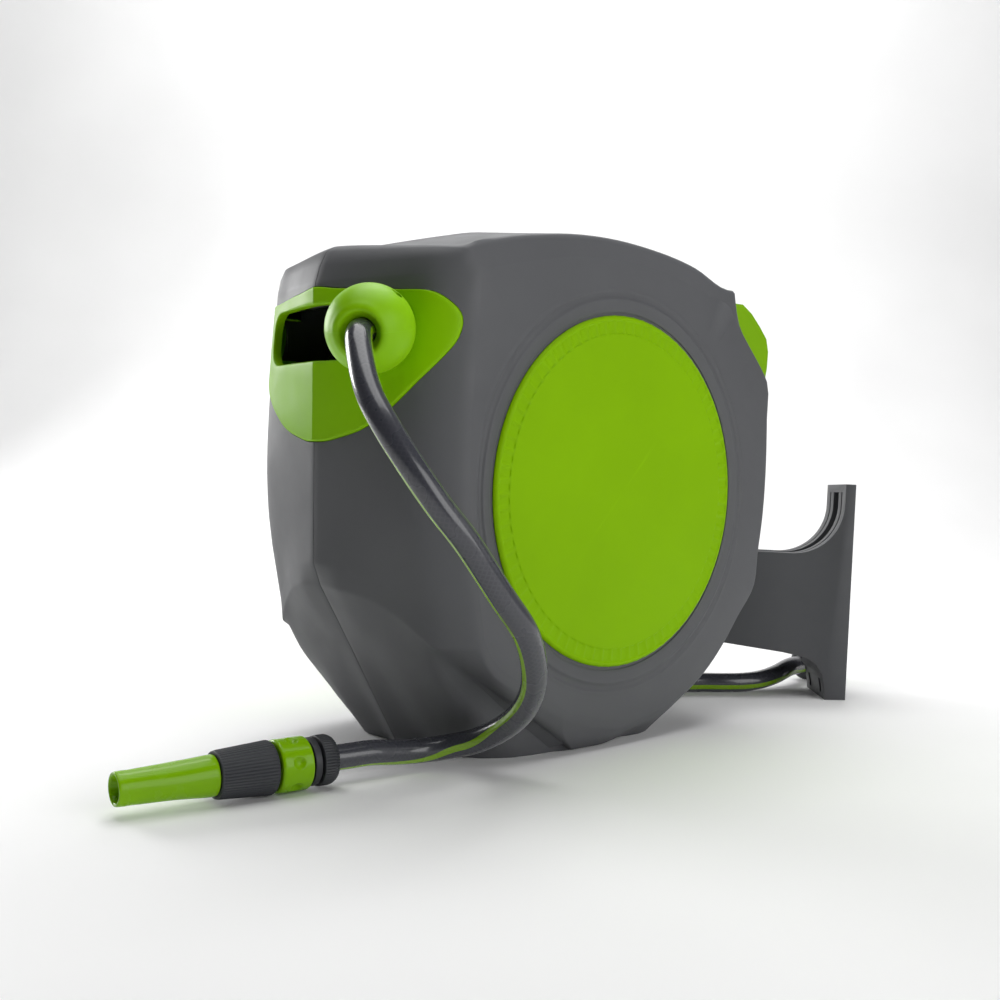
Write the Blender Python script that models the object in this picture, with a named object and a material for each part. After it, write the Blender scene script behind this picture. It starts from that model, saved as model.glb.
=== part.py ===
"""Wall-mounted retractable hose reel: two-shell case, spring drum, wound hose, nozzle and swivel bracket.

Frame: X is the depth (the hose leaves at -X, the wall bracket is at +X), the drum axis runs along Y,
Z is up and the case's foot stands on z = 0. All lengths are metres; the outline tables are millimetres.
"""
import bpy
import bmesh
import numpy as np
from math import sin, cos, pi, radians
from mathutils import Vector, Matrix

# Driving dimensions
AXIS_Z = 0.190
SIDE_Y = 0.108
SEAM = 0.00015
WALL = 3.0
SIDE_WALL_IN = 0.104
DISC_R = 0.1295
DISC_FACE = 0.110
DISC_GAP = 0.002
RECESS_R = DISC_R + DISC_GAP
RECESS_Y = 0.1062
RIB_COUNT = 76
HOSE_R = 0.0085
CORE_R = 0.102
CORE_WALL = 0.003
LAYERS_IN_R = CORE_R + 0.0007
INNER_LAYERS_R = LAYERS_IN_R + 0.0320
WIND_R = INNER_LAYERS_R + HOSE_R + 0.0018
FLANGE_R = WIND_R + 2 * HOSE_R
FLANGE_IN = 0.081
FLANGE_OUT = 0.085
RATCHET_TEETH = 18
RATCHET_R = 0.080
RING_BORE = RATCHET_R - 0.0136
TOOTH_TURN = 0.7
LID_R = RING_BORE - 0.0024
BARREL_R = LID_R - 0.0020
WIND_PITCH = 0.0178
WIND_FROM = 0.0712
WIND_TO = -0.0127
WIND_END_DEG = 107.9
BALL = Vector((-0.2104, -0.0766, 0.2964))
BALL_R = 0.02925
BALL_AXIS = Vector((-0.786, -0.584, -0.205)).normalized()
ROLLER_R = 0.005
LOWER_ROLLER = (-0.162, 0.278)
UPPER_ROLLER = (-0.158, 0.3265)
NOZZLE_START = Vector((-0.215, -0.0595, 0.0176))
NOZZLE_AXIS = Vector((-0.152, 0.021, 0.0)).normalized()
HOSE_END = 0.0205
HINGE_TILT_DEG = 3.0
HINGE_X = 0.222
HINGE_Z = 0.090
ARM_AZIMUTH_DEG = -43.0
ARM_HALF = 0.032
PLATE_BACK = 0.138
COIL_R = 0.086
COIL_CENTRE = (0.115, 0.168 + COIL_R)
COIL_PITCH = 0.0183

GREEN = (0.226, 0.445, 0.004, 1.0)
PLATE_GREEN = (0.160, 0.300, 0.010, 1.0)
GREY = (0.105, 0.108, 0.114, 1.0)
DARK = (0.030, 0.031, 0.034, 1.0)
HOSE_GREY = (0.065, 0.068, 0.080, 1.0)
STEEL = (0.560, 0.570, 0.580, 1.0)
BRASS = (0.600, 0.420, 0.160, 1.0)

for old in list(bpy.data.objects):
    bpy.data.objects.remove(old, do_unlink=True)

MATERIALS = {}


def material(name, colour, rough=0.45, metal=0.0):
    if name not in MATERIALS:
        mat = bpy.data.materials.new(name)
        mat.use_nodes = True
        shader = mat.node_tree.nodes["Principled BSDF"]
        shader.inputs["Base Color"].default_value = colour
        shader.inputs["Roughness"].default_value = rough
        shader.inputs["Metallic"].default_value = metal
        MATERIALS[name] = mat
    return MATERIALS[name]


def case_grey():
    return material("case_grey", GREY, 0.6)


def green():
    return material("green_plastic", GREEN, 0.4)


def dark():
    return material("dark_plastic", DARK, 0.5)


def steel():
    return material("steel", STEEL, 0.3, 1.0)


def hose_mat():
    return material("hose_pvc", HOSE_GREY, 0.5)


def empty(name, at, parent=None):
    node = bpy.data.objects.new(name, None)
    node.empty_display_size = 0.02
    bpy.context.scene.collection.objects.link(node)
    node.parent = parent
    base = parent.matrix_world.translation if parent else Vector((0, 0, 0))
    node.location = Vector(at) - base
    bpy.context.view_layer.update()
    return node


def make(name, verts, faces, mat, parent=None, smooth=True, origin=None):
    base = parent.matrix_world.translation if parent else Vector((0, 0, 0))
    origin = Vector(origin) if origin is not None else base
    mesh = bpy.data.meshes.new(name)
    mesh.from_pydata([tuple(Vector(v) - origin) for v in verts], [], faces)
    mesh.materials.append(mat)
    bm = bmesh.new()
    bm.from_mesh(mesh)
    bmesh.ops.recalc_face_normals(bm, faces=bm.faces)
    if bm.calc_volume(signed=True) < 0:
        bmesh.ops.reverse_faces(bm, faces=bm.faces)
    bm.to_mesh(mesh)
    bm.free()
    if smooth:
        mesh.shade_smooth()
        mesh.set_sharp_from_angle(angle=radians(32))
    obj = bpy.data.objects.new(name, mesh)
    bpy.context.scene.collection.objects.link(obj)
    obj.parent = parent
    obj.location = origin - base
    return obj


def cutter(obj):
    obj.hide_render = True
    obj.display_type = "WIRE"
    return obj


def boolean(obj, other, operation="DIFFERENCE"):
    mod = obj.modifiers.new(operation.lower(), "BOOLEAN")
    mod.operation = operation
    mod.solver = "EXACT"
    mod.object = other
    cutter(other)
    return obj


def frame_of(axis):
    z = Vector(axis).normalized()
    side = Vector((0, 0, 1)) if abs(z.z) < 0.9 else Vector((1, 0, 0))
    x = side.cross(z).normalized()
    return x, z.cross(x), z


def lathe_data(profile, at, axis, segments=48, sweep=360.0, start=0.0, wobble=None):
    """Turn a closed (radius, height) loop about an axis; a part sweep gets its two end faces."""
    x, y, z = frame_of(axis)
    at = Vector(at)
    full = sweep >= 359.9
    count = segments if full else segments + 1
    verts = []
    for k in range(count):
        angle = radians(start + sweep * k / segments)
        for i, (r, h) in enumerate(profile):
            if wobble:
                r, h = wobble(k, i, r, h)
            verts.append(at + (x * cos(angle) + y * sin(angle)) * r + z * h)
    n = len(profile)
    faces = []
    for k in range(segments):
        a = k * n
        b = ((k + 1) % count) * n
        for i in range(n):
            j = (i + 1) % n
            faces.append((a + i, a + j, b + j, b + i))
    if not full:
        faces.append(tuple(range(n)))
        faces.append(tuple((count - 1) * n + i for i in range(n)))
    return verts, faces


def ring_data(r_in, r_out, h0, h1, at, axis, segments=48):
    return lathe_data([(r_in, h0), (r_out, h0), (r_out, h1), (r_in, h1)], at, axis, segments)


def rod_data(radius, h0, h1, at, axis, segments=24):
    x, y, z = frame_of(axis)
    at = Vector(at)
    verts = []
    for h in (h0, h1):
        for k in range(segments):
            a = 2 * pi * k / segments
            verts.append(at + (x * cos(a) + y * sin(a)) * radius + z * h)
    faces = [tuple(range(segments)), tuple(range(segments, 2 * segments))]
    for k in range(segments):
        j = (k + 1) % segments
        faces.append((k, j, segments + j, segments + k))
    return verts, faces


def turned_data(profile, at, axis, segments=24):
    """Solid of revolution: the (radius, height) line starts and ends on flat end faces."""
    x, y, z = frame_of(axis)
    at = Vector(at)
    verts = []
    for r, h in profile:
        for k in range(segments):
            a = 2 * pi * k / segments
            verts.append(at + (x * cos(a) + y * sin(a)) * r + z * h)
    last = (len(profile) - 1) * segments
    faces = [tuple(range(segments)), tuple(range(last, last + segments))]
    for i in range(len(profile) - 1):
        for k in range(segments):
            j = (k + 1) % segments
            a = i * segments
            faces.append((a + k, a + j, a + segments + j, a + segments + k))
    return verts, faces


def prism_data(points, to3d, lo, hi):
    """Extrude a flat polygon; to3d(u, v, w) gives the world point."""
    n = len(points)
    verts = [to3d(u, v, lo) for u, v in points] + [to3d(u, v, hi) for u, v in points]
    faces = [tuple(range(n)), tuple(range(n, 2 * n))]
    for i in range(n):
        j = (i + 1) % n
        faces.append((i, j, n + j, n + i))
    return verts, faces


def box_data(lo, hi):
    points = [(lo[0], lo[2]), (hi[0], lo[2]), (hi[0], hi[2]), (lo[0], hi[2])]
    return prism_data(points, xz, lo[1], hi[1])


def xz(u, v, w):
    return Vector((u, w, v))


def yz(u, v, w):
    return Vector((w, u, v))


def joined(*parts):
    verts = []
    faces = []
    for v, f in parts:
        base = len(verts)
        verts.extend(v)
        faces.extend(tuple(base + i for i in face) for face in f)
    return verts, faces


def loft_data(rings):
    n = len(rings[0])
    verts = [v for ring in rings for v in ring]
    last = (len(rings) - 1) * n
    faces = [tuple(range(n)), tuple(range(last, last + n))]
    for s in range(len(rings) - 1):
        for i in range(n):
            j = (i + 1) % n
            a = s * n
            faces.append((a + i, a + j, a + n + j, a + n + i))
    return verts, faces


def smooth_route(points, step):
    """Points at even steps on the smooth curve through hand-chosen route points."""
    pts = [Vector(p) for p in points]
    pts = [pts[0] * 2 - pts[1]] + pts + [pts[-1] * 2 - pts[-2]]
    dense = []
    for i in range(1, len(pts) - 2):
        p0, p1, p2, p3 = pts[i - 1:i + 3]
        t1 = max((p1 - p0).length, 1e-9) ** 0.5
        t2 = max((p2 - p1).length, 1e-9) ** 0.5
        t3 = max((p3 - p2).length, 1e-9) ** 0.5
        m1 = (p2 - p1) / t2 - (p2 - p0) / (t1 + t2) + (p1 - p0) / t1
        m2 = (p3 - p2) / t3 - (p3 - p1) / (t2 + t3) + (p2 - p1) / t2
        m1 = m1 * t2
        m2 = m2 * t2
        for k in range(24):
            s = k / 24
            h00 = 2 * s ** 3 - 3 * s ** 2 + 1
            h10 = s ** 3 - 2 * s ** 2 + s
            h01 = -2 * s ** 3 + 3 * s ** 2
            h11 = s ** 3 - s ** 2
            dense.append(p1 * h00 + m1 * h10 + p2 * h01 + m2 * h11)
    dense.append(pts[-2])
    length = sum((b - a).length for a, b in zip(dense, dense[1:]))
    count = max(2, round(length / step))
    out = [dense[0]]
    gone = 0.0
    want = length / count
    for a, b in zip(dense, dense[1:]):
        seg = (b - a).length
        while gone + seg >= want * len(out) - 1e-9 and len(out) < count:
            out.append(a.lerp(b, (want * len(out) - gone) / seg))
        gone += seg
    out.append(dense[-1])
    return out


def tube(name, points, radius, mat, parent=None, resolution=2):
    base = parent.matrix_world.translation if parent else Vector((0, 0, 0))
    curve = bpy.data.curves.new(name, "CURVE")
    curve.dimensions = "3D"
    curve.bevel_depth = radius
    curve.bevel_resolution = resolution
    curve.use_fill_caps = True
    spline = curve.splines.new("POLY")
    spline.points.add(len(points) - 1)
    for slot, p in zip(spline.points, points):
        slot.co = (*(Vector(p) - base), 1.0)
        slot.radius = 1.0
    curve.materials.append(mat)
    obj = bpy.data.objects.new(name, curve)
    bpy.context.scene.collection.objects.link(obj)
    obj.parent = parent
    return obj


# Case outline tables, millimetres
LOWER_T = [0, 24, 45, 65, 81, 91, 107, 108]
ARC_T = [0, 23, 44, 65, 82, 94, 105, 108]
LOWER_FRONT = [
    [(-193, 124), (-170, 85), (-147, 45), (-121, 0), (-60, 0), (0, 0)],
    [(-194, 122), (-168, 82), (-141, 41), (-113, 0), (-60, 0), (0, 0)],
    [(-188, 117.5), (-165, 78), (-141.5, 39), (-113, 0), (-60, 0), (0, 0)],
    [(-179.5, 107), (-159, 71), (-135, 36), (-103, 0), (-50, 0), (0, 0)],
    [(-170, 94.5), (-150, 63), (-118, 31.5), (-80, 0), (-40, 0), (0, 0)],
    [(-165, 87), (-121, 58), (-76, 29), (-32, 0), (-20, 0), (0, 0)],
    [(-153, 87), (-131, 72), (-99, 51), (-57, 28), (-28, 20), (1, 14)],
    [(-146, 92), (-126, 77), (-95, 57), (-55, 34), (-27, 26), (1, 20)],
]
ROOF_X = [-150, -119, -80, -56, -20, 31, 91, 133]
ROOF_MID = [363.5, 371, 380, 385, 388, 386, 376, 360]
ROOF_EDGE = [354, 363, 370, 373, 375, 373, 364, 351]
ROOF_CREASE = [339.5, 344, 352, 356.5, 359, 357, 344.5, 328]
REAR = [(141, 351), (143, 339), (146, 326), (163, 304), (177, 290), (186, 279), (187, 248),
        (187, 209), (183, 163), (178, 137), (174, 111), (152, 86), (134, 66), (108, 44)]
REAR_LOW_MID = [(82, 22), (57, 0), (28, 0)]
REAR_LOW_SIDE = [(82, 29), (58, 20), (26, 14)]
OUTER_T = [0.15, 24, 46, 66, 78, 86, 93, 98.5, 102.5, 105.5, 107.3, 108]
INNER_T = [0.15, 46, 86, 98, 104]


BOW_T = [0, 30, 60, 75, 85, 92, 98, 102, 105, 107, 108]
BOW_X = [-199, -194.2, -188.5, -185, -181, -176, -169.5, -163.8, -158.8, -154.3, -150.5]
SWELL_Z = [80, 95, 107, 121, 132, 144, 167, 200, 240, 285, 333, 355]
SWELL_X = [15, 14, 13, 11, 8.5, 5.5, 2, 0, 1, 4.3, 8.5, 9.5]


def smooth_value(t, xs, ys):
    """Monotone smooth interpolation through table points."""
    t = min(max(t, xs[0]), xs[-1])
    k = min(max(int(np.searchsorted(xs, t)) - 1, 0), len(xs) - 2)
    slopes = [(b - a) / (v - u) for a, b, u, v in zip(ys, ys[1:], xs, xs[1:])]

    def tangent(i):
        if i == 0:
            return slopes[0]
        if i == len(xs) - 1:
            return slopes[-1]
        a, b = slopes[i - 1], slopes[i]
        return 0.0 if a * b <= 0 else 2 * a * b / (a + b)

    h = xs[k + 1] - xs[k]
    s = (t - xs[k]) / h
    return (ys[k] * (2 * s ** 3 - 3 * s ** 2 + 1) + h * tangent(k) * (s ** 3 - 2 * s ** 2 + s)
            + ys[k + 1] * (3 * s ** 2 - 2 * s ** 3) + h * tangent(k + 1) * (s ** 3 - s ** 2))


def front_x(t, z):
    """Front wall x at half width t and height z, mm: bowed across, and rounded in height towards the sides."""
    share = min(t / 85, 1.0)
    share = share * share * (3 - 2 * share)
    return smooth_value(t, BOW_T, BOW_X) + share * smooth_value(z, SWELL_Z, SWELL_X)


def between(t, stations, rows):
    k = int(np.clip(np.searchsorted(stations, t) - 1, 0, len(stations) - 2))
    s = float(np.clip((t - stations[k]) / (stations[k + 1] - stations[k]), 0, 1))
    return [(a[0] + (b[0] - a[0]) * s, a[1] + (b[1] - a[1]) * s) for a, b in zip(rows[k], rows[k + 1])]


def outline(t):
    """The case outline in the XZ plane at half width t, in mm, once round."""
    inset = float(np.interp(t, [101, 105, 107.3, 108], [0, 2, 5, 8]))
    lower = between(t, LOWER_T, LOWER_FRONT)
    lower[0] = (max(lower[0][0], front_x(t, lower[0][1]) + 0.3), lower[0][1])
    arc = float(np.interp(t, ARC_T, [140, 138, 132, 121, 107, 98, 94, 98]))
    crease = float(np.interp(t, [0, 53, 85, 100, 108], [333, 334, 335, 336.5, 336]))
    lean = float(np.interp(t, [0, 95, 102, 108], [9, 6, 4, 3]))
    edge_z = float(np.interp(t, [0, 100, 102, 108], [355, 352, 352, 338.5]))
    upper = [(front_x(t, z), z) for z in (arc, 167, 200, 240, 285, crease)]
    top = front_x(t, crease) + lean
    upper.append((top, edge_z))
    roof = []
    for x, mid, edge, low in zip(ROOF_X, ROOF_MID, ROOF_EDGE, ROOF_CREASE):
        z = float(np.interp(t, [0, 102, 108], [mid, edge, low]))
        roof.append((max(x, top + 3) if x == -150 else x, z))
    drop = float(np.interp(t, [102, 108], [0, 1]))
    rear = []
    for i, (x, z) in enumerate(REAR):
        if i == 0:
            z -= 25 * drop
        if i == 1:
            z -= 15.5 * drop
        if i == 2:
            z -= 5 * drop
        rear.append((x - inset, z))
    blend = float(np.interp(t, [86, 107], [0, 1]))
    low = []
    for a, b in zip(REAR_LOW_MID, REAR_LOW_SIDE):
        low.append((a[0] + (b[0] - a[0]) * blend, a[1] + (b[1] - a[1]) * blend + inset * 0.6 * blend))
    return lower[::-1] + upper + roof + rear + low


def offset(points, distance):
    """Move every point of a clockwise outline inward by the distance (mm)."""
    out = []
    n = len(points)
    for i in range(n):
        a = Vector(points[i - 1])
        b = Vector(points[i])
        c = Vector(points[(i + 1) % n])
        d1 = (b - a).normalized()
        d2 = (c - b).normalized()
        n1 = Vector((d1.y, -d1.x))
        n2 = Vector((d2.y, -d2.x))
        m = (n1 + n2).normalized()
        out.append(tuple(b + m * distance / max(m.dot(n1), 0.6)))
    return out


def shell_data(side):
    """Half the case as one walled body: outer skin, inner skin and the seam face between them."""
    outer = [[Vector((x / 1000, side * t / 1000, z / 1000)) for x, z in outline(t)] for t in OUTER_T]
    inner = []
    for t in INNER_T:
        thick = float(np.interp(t, [95, 100, 104], [WALL, 3.6, 6.5]))
        ring = offset(outline(t), thick)
        inner.append([Vector((x / 1000, side * t / 1000, z / 1000)) for x, z in ring])
    n = len(outer[0])
    verts = [v for ring in outer for v in ring] + [v for ring in inner for v in ring]
    base = len(outer) * n
    faces = []
    for start, rings in ((0, len(outer)), (base, len(inner))):
        for s in range(rings - 1):
            for i in range(n):
                j = (i + 1) % n
                a = start + s * n
                faces.append((a + i, a + j, a + n + j, a + n + i))
        last = start + (rings - 1) * n
        faces.append(tuple(last + i for i in range(n)))
    for i in range(n):
        j = (i + 1) % n
        faces.append((i, j, base + j, base + i))
    return verts, faces


def solid_case_data(side):
    rings = [[Vector((x / 1000, side * t / 1000, z / 1000)) for x, z in offset(outline(t), 1.0)]
             for t in OUTER_T[:-2]]
    return loft_data(rings)


# Screw places in the XZ plane, metres
CASE_SCREWS = [(-0.1500, 0.3405), (-0.1655, 0.227), (-0.158, 0.129), (0.1270, 0.3355), (0.1755, 0.240),
               (0.151, 0.099), (0.012, 0.0072)]
SCREW_HEAD_Y = [0.0915, 0.0905, 0.0925, 0.0985, 0.0985, 0.0985, 0.0860]


def boss_data(side):
    parts = []
    for (x, z), head in zip(CASE_SCREWS, SCREW_HEAD_Y):
        profile = [(0.0048, SEAM), (0.0048, 0.0862), (0.0070, 0.0866), (0.0070, 0.1055)]
        parts.append(turned_data(profile, (x, 0, z), (0, side, 0), 8))
    return joined(*parts)


def plate_outline(grow):
    """Fairlead plate outline in the YZ plane, metres."""
    top = [(0, 330), (20, 328), (39, 327), (68, 325), (86, 324), (93, 321.5), (98, 317), (102.3, 310)]
    bottom = [(103.4, 301), (101, 288.5), (93, 273.6), (80, 258), (65, 245), (44, 232.6), (15, 225), (0, 224)]
    right = [(y / 1000, z / 1000) for y, z in top + bottom]
    left = [(-y, z) for y, z in reversed(right[1:-1])]
    points = right + left
    centre = Vector((0, 0.285))
    out = []
    for p in points:
        v = Vector(p) - centre
        out.append(tuple(centre + v * (1 + grow / v.length)))
    return out


def shell(side, name, parent):
    shell_obj = make(name, *shell_data(side), case_grey(), parent)
    bosses = make(name + "_bosses", *boss_data(side), case_grey(), parent, smooth=False)
    boolean(bosses, make(name + "_trim", *solid_case_data(side), case_grey(), parent, smooth=False), "INTERSECT")
    boolean(shell_obj, bosses, "UNION")
    hub = turned_data([(0.024, 0.0975), (0.024, 0.1045)], (0, 0, AXIS_Z), (0, side, 0), 24)
    boolean(shell_obj, make(name + "_hub", *hub, case_grey(), parent, smooth=False), "UNION")
    cuts = []
    at = (0, 0, AXIS_Z)
    axis = (0, side, 0)
    recess = [(0.0083, 0.090), (0.0083, 0.1012), (0.0151, 0.1012), (0.0151, RECESS_Y),
              (RECESS_R, RECESS_Y), (RECESS_R, 0.120)]
    if side > 0:
        recess[0] = (0.0103, 0.090)
        recess[1] = (0.0103, 0.1012)
    cuts.append(turned_data(recess, at, axis, 48))
    for (x, z), head in zip(CASE_SCREWS, SCREW_HEAD_Y):
        if side > 0:
            profile = [(0.0023, -0.002), (0.0023, head), (0.0049, head), (0.0049, 0.130)]
        else:
            profile = [(0.0020, -0.002), (0.0020, 0.030)]
        cuts.append(turned_data(profile, (x, 0, z), axis, 8))
    cuts.append(rod_data(0.0021, -0.020, 0.020, HANDLE_SCREW(side), HANDLE_DIR, 8))
    cut = make(name + "_cuts", *joined(*cuts), case_grey(), parent, smooth=False)
    boolean(shell_obj, cut)
    window = prism_data(plate_outline(0.0005), yz, -0.230, -0.1515)
    boolean(shell_obj, make(name + "_window", *window, case_grey(), parent, smooth=False))
    return shell_obj


def disc_cover(side, name, parent):
    """The right cover lets the inlet through; the left one is closed."""
    r = DISC_R
    face = DISC_FACE - 0.0006
    rim = [(r, 0.1066), (r, 0.1088), (r * 0.988, DISC_FACE), (r * 0.90, DISC_FACE), (r * 0.89, face)]
    if side > 0:
        hole = 0.0195
        data = lathe_data([(hole, 0.1066)] + rim + [(hole, face)], (0, 0, AXIS_Z), (0, side, 0), RIB_COUNT)
    else:
        data = turned_data(rim, (0, 0, AXIS_Z), (0, side, 0), RIB_COUNT)
    return make(name, *data, green(), parent)


def fairlead_plate(parent):
    points = plate_outline(0.0)
    half = [p for p in points if p[0] >= -1e-9]
    top = sorted([p for p in half if p[1] > 0.301])
    low = sorted([p for p in half if p[1] <= 0.3015])
    ys = [0, 0.024, 0.046, 0.064, 0.077, 0.086, 0.092, 0.0965, 0.100, 0.1025]
    ys = [-y for y in reversed(ys[1:])] + ys
    rings = []
    for y in ys:
        t = abs(y)
        zt = float(np.interp(t, [p[0] for p in top] + [0.1034], [p[1] for p in top] + [0.3050]))
        zb = float(np.interp(t, [p[0] for p in low], [p[1] for p in low]))
        levels = [zb + (zt - zb) * k / 5 for k in range(6)]
        wall = [front_x(t * 1000, z * 1000) / 1000 for z in levels]
        ring = [(wall[-1] - 0.0006, y, zt)]
        ring += [(x - 0.0018, y, z) for x, z in zip(wall[::-1], [zt - 0.0012] + levels[-2:0:-1] + [zb + 0.0012])]
        ring += [(wall[0] - 0.0006, y, zb)]
        ring += [(x + 0.0032, y, z) for x, z in zip(wall, levels)]
        rings.append([Vector(p) for p in ring])
    plate = make("fairlead_plate", *loft_data(rings), material("plate_green", PLATE_GREEN, 0.4), parent)
    lugs = []
    for side in (-1, 1):
        ends = sorted((side * 0.0840, side * 0.0885))
        lugs.append(box_data((-0.1760, ends[0], 0.2715), (-0.1565, ends[1], 0.2845)))
        lugs.append(box_data((-0.1720, ends[0], 0.3150), (-0.1525, ends[1], 0.3232)))
        lugs.append(box_data((-0.1655, ends[0], 0.3160), (-0.1525, ends[1], 0.3330)))
    for i, lug in enumerate(lugs):
        boolean(plate, make(f"plate_lug_{i}", *lug, PLATE_MAT(), parent, smooth=False), "UNION")
    pins = [rod_data(0.0019, -0.0950, 0.0950, (x, 0, z), (0, 1, 0), 16) for x, z in (LOWER_ROLLER, UPPER_ROLLER)]
    boolean(plate, make("plate_pin_bores", *joined(*pins), PLATE_MAT(), parent, smooth=False))
    slot = prism_data(slot_outline(), yz, -0.230, -0.150)
    boolean(plate, make("plate_slot", *slot, PLATE_MAT(), parent, smooth=False))
    return plate


def PLATE_MAT():
    return material("plate_green", PLATE_GREEN, 0.4)


def slot_outline():
    """Rounded slot the hose runs through, YZ plane."""
    pts = []
    r = 0.0150
    for cy, cz, start in ((0.063, 0.3026, 90), (0.063, 0.2943, 0), (-0.066, 0.2943, -90), (-0.066, 0.3026, -180)):
        for k in range(7):
            a = radians(start - 15 * k)
            pts.append((cy + r * cos(a), cz + r * sin(a)))
    return pts


def guide_roller(name, place, parent):
    x, z = place
    node = empty(name + "_axis", (x, 0, z), parent)
    loop = [(0.0020, -0.0800), (ROLLER_R, -0.0800), (ROLLER_R, 0.0800), (0.0020, 0.0800)]
    return make(name, *lathe_data(loop, (x, 0, z), (0, 1, 0), 16), steel(), node)


def roller_pin(name, place, parent):
    x, z = place
    return make(name, *rod_data(0.0016, -0.0878, 0.0878, (x, 0, z), (0, 1, 0), 16), steel(), parent)


def screw_data(at, axis, head_h, length, r_head=0.0044, r_shank=0.0017):
    """Pan head screw: the head's seat is at head_h, the shank runs back towards the axis start."""
    profile = [(r_shank, head_h - length), (r_shank, head_h + 0.0003), (r_head, head_h + 0.0003),
               (r_head, head_h + 0.0020), (r_head * 0.6, head_h + 0.0031)]
    return turned_data(profile, at, axis, 8)


def case_screws(parent):
    for i, ((x, z), head) in enumerate(zip(CASE_SCREWS, SCREW_HEAD_Y)):
        data = screw_data((x, 0, z), (0, 1, 0), head, head + 0.024)
        make(f"case_screw_{i + 1}", *data, steel(), parent, origin=(x, head, z))


HANDLE_WALL = [(0.1434, 0.345), (0.1436, 0.3392), (0.1466, 0.3263), (0.1635, 0.3045), (0.1774, 0.2905),
               (0.1860, 0.2796)]


def carry_handle(parent):
    leg = [(0.1434, 0.3460), (0.1900, 0.3460), (0.2030, 0.3390), (0.2150, 0.3290), (0.2250, 0.3190),
           (0.2280, 0.3080), (0.2268, 0.2940), (0.2230, 0.2800), (0.2050, 0.2765), (0.1876, 0.2790)]
    leg += [(x + 0.0004, z) for x, z in HANDLE_WALL[::-1][1:]]
    leg = [p for p in leg if not (p[0] < 0.1436 and p[1] < 0.3455 and p[1] > 0.3440)]
    bar = [(0.2020, 0.3280), (0.2080, 0.3330), (0.2150, 0.3290), (0.2250, 0.3190), (0.2279, 0.3080),
           (0.2268, 0.2940), (0.2229, 0.2800), (0.2120, 0.2790), (0.2060, 0.2860), (0.2075, 0.3000),
           (0.2060, 0.3150)]
    handle = make("carry_handle", *prism_data(leg, xz, -0.0750, -0.0610), green(), parent)
    boolean(handle, make("handle_leg", *prism_data(leg, xz, 0.0610, 0.0750), green(), parent), "UNION")
    boolean(handle, make("handle_bar", *prism_data(bar, xz, -0.0625, 0.0625), green(), parent), "UNION")
    bores = []
    for side in (-1, 1):
        profile = [(0.0021, -0.010), (0.0021, 0.012), (0.0048, 0.012), (0.0048, 0.060)]
        bores.append(turned_data(profile, HANDLE_SCREW(side), HANDLE_DIR, 16))
    boolean(handle, make("handle_bores", *joined(*bores), green(), parent, smooth=False))
    return handle


HANDLE_DIR = Vector((0.79, 0.0, 0.61)).normalized()


def HANDLE_SCREW(side):
    return Vector((0.1662, side * 0.068, 0.3053))


def handle_screws(parent):
    for side, tag in ((-1, "left"), (1, "right")):
        at = HANDLE_SCREW(side)
        data = screw_data(at, HANDLE_DIR, 0.012, 0.0215)
        make(f"handle_screw_{tag}", *data, steel(), parent, origin=at)


def on_axis(y=0.0):
    return (0, y, AXIS_Z)


def drum_parts(parent):
    at = on_axis()
    up = (0, 1, 0)
    bore = CORE_R - CORE_WALL
    core = [(CORE_R, -0.0807), (CORE_R, 0.0807), (bore, 0.0807), (bore, 0.024), (0.0185, 0.024), (0.0185, 0.060),
            (0.0140, 0.060), (0.0140, 0.008), (0.0185, 0.008), (0.0185, 0.020), (bore, 0.020), (bore, -0.0807)]
    drum = make("drum_core", *lathe_data(core, at, up, 30), dark(), parent)
    port = rod_data(0.0073, 0.010, bore - 0.002, on_axis(0.042), (0, 0, 1), 20)
    boolean(drum, make("drum_port", *port, dark(), parent, smooth=False))
    rim = FLANGE_R - 0.004
    eye = RING_BORE - 0.0004
    near = [(eye, -FLANGE_OUT), (rim, -FLANGE_OUT), (FLANGE_R, -0.0838), (FLANGE_R, -FLANGE_IN), (eye, -FLANGE_IN)]
    make("drum_flange_left", *lathe_data(near, at, up, 36), dark(), parent)
    far = [(0.0240, FLANGE_IN), (FLANGE_R, FLANGE_IN), (FLANGE_R, 0.0838), (rim, FLANGE_OUT), (0.0240, FLANGE_OUT)]
    make("drum_flange_right", *lathe_data(far, at, up, 36), dark(), parent)
    cup_r = bore - 0.0008
    barrel_in = BARREL_R - 0.0025
    cup = [(0.0120, -0.029), (barrel_in, -0.029), (barrel_in, -0.0838), (BARREL_R, -0.0838), (BARREL_R, -0.029),
           (cup_r, -0.029), (cup_r, -0.026), (0.0120, -0.026)]
    make("spring_cup", *lathe_data(cup, at, up, 32), dark(), parent)
    lid = [(0.0090, -0.0872), (LID_R, -0.0872), (LID_R, -0.0842), (0.0090, -0.0842)]
    make("spring_lid", *lathe_data(lid, at, up, 28), dark(), parent)
    make("mainspring", *spiral_data(), steel(), parent)
    make("ratchet_ring", *ratchet_data(), dark(), parent)
    brass = material("brass", BRASS, 0.35, 1.0)
    make("bush_left", *ring_data(0.0083, 0.0117, -0.0305, -0.0245, at, up, 20), brass, parent)
    make("bush_right", *ring_data(0.0103, 0.0137, 0.0440, 0.0590, at, up, 20), brass, parent)
    outlet_end = bore - 0.0015
    outlet = [(0.0048, 0.0143), (0.0070, 0.0143), (0.0070, outlet_end), (0.0048, outlet_end)]
    make("hub_outlet", *lathe_data(outlet, on_axis(0.042), (0, 0, 1), 16), brass, parent)
    layers = ring_data(LAYERS_IN_R, INNER_LAYERS_R, -0.0804, 0.0804, at, up, 48)
    make("hose_inner_layers", *layers, hose_mat(), parent)
    tube("hose_winding", winding_points(), HOSE_R, hose_mat(), parent, 1)


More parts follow.
